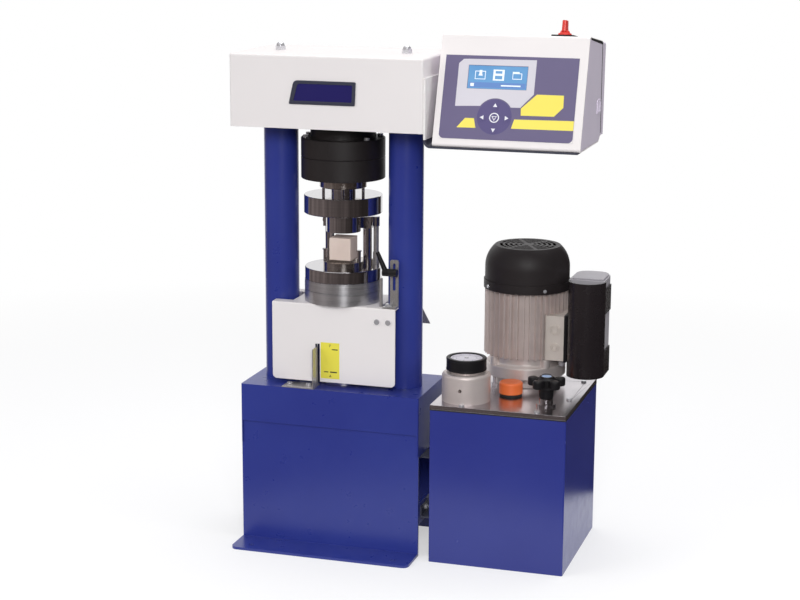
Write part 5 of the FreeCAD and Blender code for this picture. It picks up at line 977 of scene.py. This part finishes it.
@dataclass
class PumpUnit:
    """The oil tank with its motor and controls.

    Attributes:
        motor: Plan position of the motor's axis.
        regulator: Plan position of the regulator.
        valve: Plan position of the release valve.
        dial_sink: Depth of the dial's recess in the regulator knob.
        dial_radius: Radius of the dial face.
        dial_marks: Marks of the dial's scale, of which every fifth is long.
        long_mark: Half the width of a long mark, and its start inward from the dial's edge.
        short_mark: The same of a short mark.
        knob_radius: Radius of the regulator knob.
        knob_bore: Radius of the knob's bore.
        star_reach: Reach of the star knob over its lobes.
        star_depth: Height of its lobed head.
        lobe_radius: Radius of one lobe.
        lobes: How many lobes it has.
        star_turn: Turn of the first lobe, in degrees.
        shield: Radius of the end shield's foot, flange, wall and bore.
        lug_circle: Radius of the circle of the shield's lugs.
        lug_radius: Radius of a lug.
        case_height: Height of the capacitor's case.
        case_back: How much deeper the case is than its solid.
        sleeve_radius: Outer radius of its sleeve.
        sleeve_wall: Thickness of the sleeve.
        sleeve_span: The sleeve's foot and rim above the case's foot.
        clip: Thickness, depth and height of a clip.
        knockouts: Radius of each knockout, and its height as a share of the box's.
        cowl_wall: Height and radius of the cowl's ring where the screws sit.
        cowl_screws: Name and direction of each cowl screw, in degrees.
    """

    motor: Pair = (323.0, 115.0)
    regulator: Pair = (250.4, -45.6)
    valve: Pair = (398.6, -43.5)
    dial_sink: float = 2.5
    dial_radius: float = 29.2
    dial_marks: int = 40
    long_mark: Pair = (0.45, 8.6)
    short_mark: Pair = (0.25, 5.6)
    knob_radius: float = 36.9
    knob_bore: float = 9.0
    star_reach: float = 35.0
    star_depth: float = 16.5
    lobe_radius: float = 9.5
    lobes: int = 5
    star_turn: float = 102.3
    shield: Quad = (58.0, 75.0, 64.9, 14.0)
    lug_circle: float = 67.5
    lug_radius: float = 9.0
    case_height: float = 183.0
    case_back: float = 6.0
    sleeve_radius: float = 34.5
    sleeve_wall: float = 2.5
    sleeve_span: Pair = (2.0, 179.0)
    clip: Triple = (2.5, 53.0, 48.0)
    knockouts: tuple[Pair, ...] = ((9.3, 0.69), (7.4, 0.3))
    cowl_wall: Pair = (486.2, 80.6)
    cowl_screws: tuple[tuple[str, float], ...] = (("left", 219.5), ("right", 306.9),
                                                  ("rear", 66.0))

    def dress(self) -> None:
        """Finish the CAD nodes of the pump unit."""
        SHOP.dress(Paints.BLUE_SIDE, tank_shell=0.5)
        SHOP.dress(Metals.LID, tank_lid=0.6)
        SHOP.dress(Metals.BLASTED, regulator_body=0.4)
        SHOP.dress(Paints.ORANGE, filler_cap=0.5)
        SHOP.dress(Metals.MIRROR, valve_body=0.5)
        SHOP.dress(Metals.ALUMINIUM, motor_housing=0.3)
        SHOP.dress(Metals.IRON, motor_stator=0.3, gear_pump=0.5)
        SHOP.dress(Metals.GROUND, motor_rotor=0.3)
        SHOP.dress(Paints.COWL, fan_cowl=0.3)
        SHOP.dress(Metals.BOX, terminal_box=1.0)
        SHOP.dress(Paints.PLASTIC, terminal_lid=0.5)
        SHOP.dress(Metals.ZINC, cable_gland=0.3)

    def make_knob(self) -> None:
        """Make the smooth ring knob of the regulator, with the dial's recess."""
        low, high = (corner[2] for corner in millimetres(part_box("regulator_knob")))
        rim, well, bore = self.knob_radius, self.dial_radius + 0.3, self.knob_bore
        sunk = high - self.dial_sink - 0.2
        knob = Shape.lathe([
            (bore, low + 2.0), (rim - 3.5, low + 2.0), (rim - 2.5, low), (rim - 0.8, low),
            (rim, low + 0.9), (rim, low + 3.2), (rim - 0.5, low + 3.8), (rim - 0.5, high - 4.2),
            (rim, high - 3.6), (rim, high - 1.4), (rim - 1.4, high), (well + 1.2, high),
            (well, high - 0.9), (well, sunk), (bore, sunk), (bore, low + 2.0)],
            self.regulator, 128)
        SHOP.adopt("regulator_ring", knob, Paints.PLASTIC, "regulator", ("regulator_knob",),
                   edge=0.25)

    def make_dial(self) -> None:
        """Make the pale dial face in the regulator knob, with its plain scale and hub."""
        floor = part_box("regulator_knob")[1][2] / MM - self.dial_sink
        edge = self.dial_radius
        face = Shape.lathe([(0.0, floor + 0.5), (edge - 2.2, floor + 0.5),
                            (edge - 1.6, floor + 0.9), (edge - 0.6, floor + 0.9),
                            (edge, floor + 0.3), (edge, floor)], self.regulator)
        SHOP.adopt("dial_face", face, Paints.DIAL, "regulator")
        marks = bmesh.new()
        for step in range(self.dial_marks):
            angle = math.radians(step * 360.0 / self.dial_marks)
            half_width, start = self.short_mark if step % 5 else self.long_mark
            along = Vector((math.cos(angle), math.sin(angle)))
            half = Vector((-math.sin(angle), math.cos(angle))) * half_width
            spot = Vector(self.regulator)
            near, far = along * (edge - start), along * (edge - 3.0)
            corners = [spot + near - half, spot + far - half, spot + far + half,
                       spot + near + half]
            Shape.slab([tuple(c) for c in corners], floor + 0.45, floor + 0.6, on_floor,
                       into=marks)
        Shape.band(Shape.ring(edge - 10.0, 64, self.regulator),
                   Shape.ring(edge - 10.5, 64, self.regulator), floor + 0.45, floor + 0.6,
                   on_floor, into=marks)
        SHOP.adopt("dial_scale", marks, Paints.DIAL_INK, "regulator", smooth=False)
        hub = Shape.lathe([(0.0, floor + 2.0), (2.6, floor + 2.0), (3.4, floor + 1.6),
                           (3.8, floor + 0.4)], self.regulator, 48)
        SHOP.adopt("dial_hub", hub, Metals.ZINC, "regulator")

    def make_star(self) -> None:
        """Make the five-lobed grip in one moulded skin, and the pale blue inlay in its cap."""
        low, high = (corner[2] for corner in millimetres(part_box("star_knob")))
        shoulder = high - 3.0
        crown, wide = shoulder - self.star_depth, self.lobe_radius
        mesh = Shape.lathe([(0.0, low), (11.8, low), (12.6, low + 1.2), (13.6, crown - 4.0),
                            (16.5, crown), (16.5, shoulder - 1.0), (14.8, shoulder),
                            (13.2, shoulder + 0.3), (12.8, high), (0.0, high)], self.valve, 64)
        for step in range(self.lobes):
            turn = math.radians(self.star_turn + step * 360.0 / self.lobes)
            along = Vector((math.cos(turn), math.sin(turn)))
            aside = Vector((-along.y, along.x))
            tip = Vector(self.valve) + along * (self.star_reach - wide)
            Shape.lathe([(0.0, crown + 0.6), (wide - 2.2, crown + 0.6), (wide - 0.7, crown + 1.4),
                         (wide, crown + 3.2), (wide, shoulder - 3.4),
                         (wide - 0.8, shoulder - 1.4), (wide - 2.6, shoulder - 0.4),
                         (0.0, shoulder)], (tip.x, tip.y), 48, into=mesh)
            root = Vector(self.valve) + along * 6.0
            arm = [root - aside * wide * 0.8, tip - aside * wide * 0.66,
                   tip + aside * wide * 0.66, root + aside * wide * 0.8]
            Shape.slab([tuple(c) for c in arm], crown + 1.6, shoulder - 1.6, on_floor, into=mesh)
        SHOP.adopt("star_grip", mesh, Paints.PLASTIC, "release", ("star_knob",), skin=0.7)
        inlay = Shape.lathe([(0.0, high + 0.5), (6.0, high + 0.45), (8.8, high + 0.2),
                             (9.4, high - 0.3)], self.valve, 64)
        SHOP.adopt("star_inlay", inlay, Paints.INLAY, "release")

    def make_bell(self) -> None:
        """Make the motor's end shield: foot, wide flange, bell and the four lugs."""
        low, high = (corner[2] for corner in millimetres(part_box("motor_bell")))
        foot, flange, wall, bore = self.shield
        mesh = Shape.lathe([
            (bore, low), (foot - 1.0, low), (foot, low + 1.0), (foot, low + 16.0),
            (foot + 3.0, low + 19.0), (flange - 1.5, low + 19.0), (flange, low + 20.5),
            (flange, low + 40.0), (flange - 2.0, low + 42.0), (wall + 3.0, low + 42.5),
            (wall, low + 45.5), (wall, high - 0.1), (bore, high - 0.1), (bore, low)],
            self.motor, 128)
        for turn in (45.0, 135.0, 225.0, 315.0):
            Shape.lathe([(0.0, low + 41.0), (self.lug_radius, low + 41.0),
                         (self.lug_radius, high - 2.0), (self.lug_radius - 1.4, high - 0.4),
                         (0.0, high - 0.4)],
                        Shape.spot(self.motor, self.lug_circle, math.radians(turn)), 40, into=mesh)
        SHOP.adopt("motor_shield", mesh, Metals.BELL, "frame", ("motor_bell",), edge=0.4)

    def make_capacitor(self) -> None:
        """Make the capacitor's round-backed grey case, and its black sleeve with the clips."""
        (left, front, low), (right, back, _) = millimetres(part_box("capacitor_housing"))
        back += self.case_back
        top = low + self.case_height
        outer = Shape.soften(Shape.box(left, front, right, back), (1.5, 3.0, 30.0, 30.0), 8)
        inner = Shape.soften(Shape.box(left + 3, front + 3, right - 3, back - 3),
                             (1.5, 3.0, 27.0, 27.0), 8)
        case = Shape.slab(outer, low, top - 3.0, on_floor)
        Shape.slab(inner, top - 3.1, top, on_floor, into=case)
        SHOP.adopt("capacitor_case", case, Paints.GREY_PLASTIC, "frame", ("capacitor_housing",),
                   edge=1.2)
        middle = (left + self.sleeve_radius, front)
        arc = [math.radians(180.0 + k * 5.0) for k in range(37)]
        shell = [Shape.spot(middle, self.sleeve_radius, a) for a in arc]
        hollow = [Shape.spot(middle, self.sleeve_radius - self.sleeve_wall, a)
                  for a in reversed(arc)]
        foot, rim = (low + rise for rise in self.sleeve_span)
        sleeve = Shape.slab(shell + hollow, foot, rim, on_floor)
        Shape.slab(shell, foot, foot + self.sleeve_wall, on_floor, into=sleeve)
        edge = left + 2 * self.sleeve_radius
        thick, deep, tall = self.clip
        for z in (rim - 61.0, foot):
            Shape.slab(Shape.box(edge - thick, front - 1.0, edge, front - 1.0 + deep), z, z + tall,
                       on_floor, into=sleeve)
        SHOP.adopt("capacitor_shell", sleeve, Paints.SLEEVE, "frame", ("capacitor_sleeve",),
                   edge=0.3)

    def make_knockouts(self) -> None:
        """Make the pressed rings of the terminal box's two knockouts."""
        low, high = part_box("terminal_box")
        middle, face = (low[0] + high[0]) / 2 / MM, low[1] / MM
        rings = bmesh.new()
        place = facing_front(face)
        for radius, share in self.knockouts:
            centre = (middle, low[2] / MM + (high[2] - low[2]) / MM * share)
            for wide in (radius, radius - 3.0):
                Shape.band(Shape.ring(wide, 48, centre), Shape.ring(wide - 1.1, 48, centre),
                           -0.2, 1.2, place, into=rings)
        SHOP.adopt("knockout_rings", rings, Metals.BOX, "frame", edge=0.25)

    def on_cowl(self, turn: float) -> Placer:
        """Make a placer for a spot on the cowl's ring.

        Args:
            turn: The spot's direction from the motor's axis, in degrees.

        Returns:
            A placer whose out points away from the axis.
        """
        height, radius = self.cowl_wall
        angle = math.radians(turn)
        away = Vector((math.cos(angle), math.sin(angle), 0.0))
        aside = Vector((-math.sin(angle), math.cos(angle), 0.0))
        base = Vector((*self.motor, height))
        return lambda across, rise, out: (base + away * (radius + out) + aside * across
                                          + Vector((0.0, 0.0, rise))) * MM

    def make_cowl_screws(self) -> None:
        """Make the three bright screws that hold the cowl."""
        for name, turn in self.cowl_screws:
            place = self.on_cowl(turn)
            screw = Shape.slab(Shape.ring(3.6, 24), 0.0, 1.4, place, top_inset=0.6)
            Shape.slab(Shape.box(-2.2, -0.4, 2.2, 0.4), 1.35, 1.5, place, into=screw)
            SHOP.adopt("cowl_screw_" + name, screw, Metals.ZINC, "frame", edge=0.15, smooth=False)

    def build(self) -> None:
        """Make the whole sub-assembly."""
        self.dress()
        self.make_knob()
        self.make_dial()
        self.make_star()
        self.make_bell()
        self.make_capacitor()
        self.make_knockouts()
        self.make_cowl_screws()


@dataclass
class Console:
    """The control console with its foil, display, keys and switch.

    Attributes:
        low: The lower front edge, as Y and Z.
        high: The upper front edge, as Y and Z.
        rear: The upper back edge, as Y and Z.
        seam: Where the rear cover meets the cheeks, along Y.
        seam_foot: Height of the seam's lower end.
        switch: The main switch, as X and its distance behind the upper front edge.
        switch_half: Half the width of the switch's plate.
        switch_steps: Radius, foot, top and inset of each step of the switch knob.
        switch_grip: Half the width and length of the switch's grip.
        latch: The latch on the right cheek, as Y and Z.
        latch_rim: Half the width and height of the latch, outside its rim and inside.
        foil: Thickness of the foil that carries the artwork.
        layer: Thickness of one printed layer.
        cap_rise: Height of the keys' raised membrane, which is more than a key travels.
        key_centre: Middle of the keypad, as X and height on the slope.
        key_spread: Distance of the arrow keys from the middle.
        key_caps: Radius of an arrow key's cap, and of the centre key's.
        arrow: Reach of an arrow from its middle.
        centre_ring: Outer and inner radius of the centre key's ring.
        centre_triangle: Reach of the centre key's triangle, outside and inside.
        foil_round: Radius of the foil's lower corners.
    """

    low: Pair = (-98.0, 763.5)
    high: Pair = (-33.0, 956.5)
    rear: Pair = (116.0, 937.0)
    seam: float = 80.0
    seam_foot: float = 778.0
    switch: Pair = (406.5, 38.0)
    switch_half: float = 20.5
    switch_steps: tuple[Quad, ...] = ((12.4, 3.8, 7.0, 0.8), (9.6, 6.9, 12.0, 2.6))
    switch_grip: Pair = (4.4, 10.5)
    latch: Pair = (57.0, 827.5)
    latch_rim: tuple[Pair, Pair] = ((15.0, 12.5), (11.5, 9.0))
    foil: float = 0.8
    layer: float = 0.06
    cap_rise: float = 0.66
    key_centre: Pair = (303.5, 55.6)
    key_spread: float = 21.3
    key_caps: Pair = (6.2, 8.85)
    arrow: float = 4.4
    centre_ring: Pair = (8.8, 6.9)
    centre_triangle: Pair = (5.6, 3.4)
    foil_round: float = 8.0

    @property
    def on_front(self) -> Placer:
        """Give the placer of the sloping front."""
        return sloping(self.low, self.high)

    @property
    def on_top(self) -> Placer:
        """Give the placer of the sloping top."""
        return sloping(self.high, self.rear)

    def dress(self) -> None:
        """Finish the CAD nodes of the console."""
        SHOP.dress(Paints.WHITE, console_shell=0.4)
        SHOP.dress(Paints.LILAC, console_cheeks=0.4, console_rear_cover=0.6)
        SHOP.dress(Paints.BRACKET, console_bracket=0.5)
        SHOP.dress(Paints.FOIL, console_overlay=0.0)
        SHOP.dress(Paints.SCREEN, console_display=0.1)
        SHOP.dress(Paints.PLASTIC, mains_inlet=0.5)
        SHOP.dress(Paints.FOIL_DARK, key_centre=0.15, key_up=0.15, key_down=0.15, key_left=0.15,
                   key_right=0.15)

    def print_shape(self, name: str, outline: Outline, finish: Finish, level: int = 1,
                    body: str = "frame") -> None:
        """Lay a printed shape on the foil.

        Args:
            name: The piece's name.
            outline: Its corners, as X and height on the slope.
            finish: Its colour.
            level: Its layer, counted from the foil.
            body: The body that carries it.
        """
        low = self.foil + self.layer * (level - 1)
        mesh = Shape.slab(outline, low, low + self.layer, self.on_front)
        SHOP.adopt(name, mesh, finish, body, smooth=False)

    def make_artwork(self) -> None:
        """Print the grey display field, the yellow shapes and the keypad's disc."""
        x, up = self.key_centre
        arc = [Shape.spot((x, up + 2.0), 32.5, math.radians(a)) for a in range(32, 149, 6)]
        left, low, right, high = 249.4, 106.0, 356.0, 148.1
        self.print_shape("foil_grey_left", [(231.4, 74.1)] + arc[:9:-1] + [
            (x, up + 34.5), (x, low), (left, low), (left, 158.6), (239.5, 158.1),
            (231.4, 150.4)], Paints.FOIL_GREY)
        self.print_shape("foil_grey_right", [(x, up + 34.5)] + arc[9::-1] + [
            (348.1, 74.8), (369.8, 99.1), (369.9, 159.7), (right, 159.5), (right, low),
            (x, low)], Paints.FOIL_GREY)
        self.print_shape("foil_grey_top", [(left, high), (right, high), (right, 159.5),
                                           (left, 158.6)], Paints.FOIL_GREY)
        self.print_shape("foil_disc", Shape.ring(31.0, 64, (x, up + 1.4)), Paints.FOIL_DARK)
        self.print_shape("foil_hexagon", [
            (349.4, 73.7), (350.1, 61.3), (408.6, 61.7), (423.6, 77.8), (422.9, 99.1),
            (375.5, 99.3)], Paints.FOIL_YELLOW, 2)
        self.print_shape("foil_band", [(334.9, 37.8), (444.3, 38.3), (444.3, 55.4),
                                       (339.3, 54.2)], Paints.FOIL_YELLOW)
        self.print_shape("foil_tab", [(237.6, 36.4), (271.7, 36.6), (267.5, 53.6),
                                      (251.6, 53.7)], Paints.FOIL_YELLOW)

    def make_key_cap(self, name: str, spot: Pair, radius: float, body: str) -> None:
        """Make the raised membrane over a key, which stays above the disc when it is pressed.

        Args:
            name: The key's name.
            spot: Its centre, as X and height on the slope.
            radius: Its radius in millimetres.
            body: The key's body.
        """
        cap = Shape.slab(Shape.ring(radius, 48, spot), self.foil, self.foil + self.cap_rise,
                         self.on_front, top_inset=0.05)
        SHOP.adopt("key_cap_" + name, cap, Paints.FOIL_DARK, body, smooth=False)

    def make_keys(self) -> None:
        """Make the keys' raised caps, and print the arrows and the ring on them."""
        centre = self.key_centre
        for name, turn in (("up", 90.0), ("down", 270.0), ("left", 180.0), ("right", 0.0)):
            angle = math.radians(turn)
            middle = Shape.spot(centre, self.key_spread, angle)
            arrow = [Shape.spot(middle, self.arrow, angle + k) for k in (0.0, 2.1, 4.18)]
            self.make_key_cap(name, middle, self.key_caps[0], name + "_button")
            self.print_shape("arrow_" + name, arrow, Paints.INK, 12, name + "_button")
        self.make_key_cap("centre", centre, self.key_caps[1], "centre_button")
        raised = self.foil + self.cap_rise
        corners = (-1.571, 0.524, 2.618)
        rings = [Shape.ring(radius, 64, centre) for radius in self.centre_ring]
        triangles = [[Shape.spot(centre, reach, a) for a in corners]
                     for reach in self.centre_triangle]
        for name, outlines in (("centre_ring", rings), ("centre_triangle", triangles)):
            mark = Shape.band(*outlines, raised, raised + self.layer, self.on_front)
            SHOP.adopt(name, mark, Paints.INK, "centre_button", smooth=False)

    def make_switch(self) -> None:
        """Make the main switch: its black plate, and the red knob with its foot and grip."""
        x, back = self.switch
        half = self.switch_half
        plate = Shape.soften(Shape.box(x - half, back - half, x + half, back + half), (2.5,) * 4)
        SHOP.adopt("switch_cover", Shape.slab(plate, 0.0, 3.5, self.on_top, top_inset=0.8),
                   Paints.PLASTIC, "frame", ("switch_plate",), edge=0.5)
        knob = bmesh.new()
        for radius, low, high, inset in self.switch_steps:
            Shape.slab(Shape.ring(radius, 48, (x, back)), low, high, self.on_top, knob, inset)
        wide, deep = self.switch_grip
        grip = Shape.soften(Shape.box(x - wide, back - deep, x + wide, back + deep), (3.4,) * 4)
        Shape.slab(grip, 10.0, 29.5, self.on_top, knob, 1.2)
        SHOP.adopt("switch_grip", knob, Paints.RED, "main_switch", ("switch_knob",), edge=0.8)
        mark = Shape.slab(Shape.box(x - 1.0, back - 9.0, x + 1.0, back - 1.0), 29.4, 29.8,
                          self.on_top)
        SHOP.adopt("switch_mark", mark, Paints.INK, "main_switch", smooth=False)

    def make_trim(self) -> None:
        """Make the dark seam along the right cheek's upper and rear edge, and the small latch."""
        place = facing_right(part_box("console_cheeks")[1][0] / MM)
        seam, front = self.seam, self.high[0]
        drop = (self.high[1] - self.rear[1]) / (self.rear[0] - front)

        def top_at(y: float) -> float:
            """Give the height of the top's slope at a depth."""
            return self.high[1] - (y - front) * drop

        strip = Shape.slab([(front + 6.0, top_at(front + 6.0) - 1.2), (seam, top_at(seam) - 1.2),
                            (seam, top_at(seam) - 6.5),
                            (front + 10.0, top_at(front + 10.0) - 4.6)], -0.6, 0.5, place)
        Shape.slab(Shape.box(seam - 1.4, self.seam_foot, seam + 1.4, top_at(seam) - 2.0),
                   -0.6, 0.45, place, into=strip)
        SHOP.adopt("cheek_seam", strip, Paints.GASKET, "frame", edge=0.2, smooth=False)
        y, z = self.latch
        outer, inner = (
            Shape.soften(Shape.box(y - wide, z - tall, y + wide, z + tall), (corner,) * 4)
            for (wide, tall), corner in zip(self.latch_rim, (4.0, 3.0)))
        latch = Shape.band(outer, inner, -0.3, 1.6, place)
        Shape.slab(inner, -0.3, 0.7, place, into=latch)
        Shape.slab(Shape.box(y - 2.0, z - 9.0, y + 2.0, z + 9.0), 0.5, 2.2, place, into=latch)
        SHOP.adopt("cheek_latch", latch, Paints.LILAC, "frame", edge=0.4)

    def make_bracket_skin(self) -> None:
        """Clothe the bracket's upright, in the crosshead's colour down to its bend."""
        low, high = millimetres(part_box("console_bracket"))
        sheet = self.low[1] - low[2]
        section = Shape.box(low[0] - 0.2, low[2] + 14.0, low[0] + sheet + 0.4, high[2] + 0.4)
        skin = Shape.slab(section, low[1] - 0.4, high[1] + 0.4,
                          lambda x, z, y: Vector((x, y, z)) * MM)
        SHOP.adopt("bracket_skin", skin, Paints.WHITE, "frame", edge=0.3, smooth=False)

    def make_foil_corners(self) -> None:
        """Round the foil's two lower corners to the housing's colour."""
        low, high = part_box("console_overlay")
        rise = self.high[1] - self.low[1]
        foot = (low[2] / MM - self.low[1]) / (rise / math.hypot(self.high[0] - self.low[0], rise))
        wide = self.foil_round
        for name, edge, way in (("left", low[0] / MM, 1.0), ("right", high[0] / MM, -1.0)):
            arc = [(edge + way * (wide - wide * math.sin(a)), foot + wide - wide * math.cos(a))
                   for a in (math.radians(k * 9.0) for k in range(11))]
            self.print_shape("foil_corner_" + name, [(edge, foot)] + arc, Paints.WHITE, 2)

    def make_screen(self) -> None:
        """Draw plain glyphs on the display."""
        def glyph(name: str, outline: Outline, finish: Finish, layer: int = 1) -> None:
            """Lay one glyph on the screen."""
            low = 0.4 + 0.05 * layer
            SHOP.adopt(name, Shape.slab(outline, low, low + 0.05, self.on_front), finish, "frame",
                       smooth=False)

        def hollow(name: str, left: float, low: float, right: float, high: float) -> None:
            """Draw the outline of a box."""
            inner = Shape.box(left + 1.2, low + 1.2, right - 1.2, high - 1.2)
            mesh = Shape.band(Shape.box(left, low, right, high), inner, 0.4, 0.46, self.on_front)
            SHOP.adopt(name, mesh, Paints.SCREEN_INK, "frame", smooth=False)

        box, ink = Shape.box, Paints.SCREEN_INK
        glyph("screen_band", box(252.5, 108.5, 353.5, 117.8), Paints.SCREEN_BAND, 0)
        glyph("screen_band_mark", box(255.0, 110.5, 261.5, 116.0), ink)
        glyph("screen_band_line", box(310.0, 111.5, 345.0, 114.0), ink)
        hollow("glyph_press_tray", 262.0, 123.0, 281.0, 138.0)
        glyph("glyph_press_ram", [(268.0, 129.5), (276.0, 129.5), (274.5, 133.0), (274.5, 139.5),
                                  (269.5, 139.5), (269.5, 133.0)], ink)
        glyph("glyph_disc_case", box(294.5, 121.5, 314.5, 141.0), ink, 0)
        glyph("glyph_disc_window", box(298.5, 134.0, 310.5, 138.5), Paints.SCREEN)
        glyph("glyph_disc_label", box(298.0, 124.0, 311.0, 130.0), Paints.SCREEN)
        hollow("glyph_folder", 329.0, 124.5, 346.0, 135.5)
        glyph("glyph_folder_tab", box(329.0, 135.0, 341.0, 138.0), ink, 0)

    def build(self) -> None:
        """Make the whole sub-assembly."""
        self.dress()
        self.make_artwork()
        self.make_keys()
        self.make_screen()
        self.make_switch()
        self.make_trim()
        self.make_bracket_skin()
        self.make_foil_corners()


def main() -> None:
    """Build the machine's looks, sub-assembly by sub-assembly."""
    logging.basicConfig(level=logging.INFO, format="%(name)s: %(message)s")
    Studio().set_up()
    for assembly in (LoadFrame(), LoadTrain(), PumpUnit(), Console()):
        assembly.build()
    LOG.info("%d pieces added", SHOP.count)


if __name__ == "__main__":
    main()
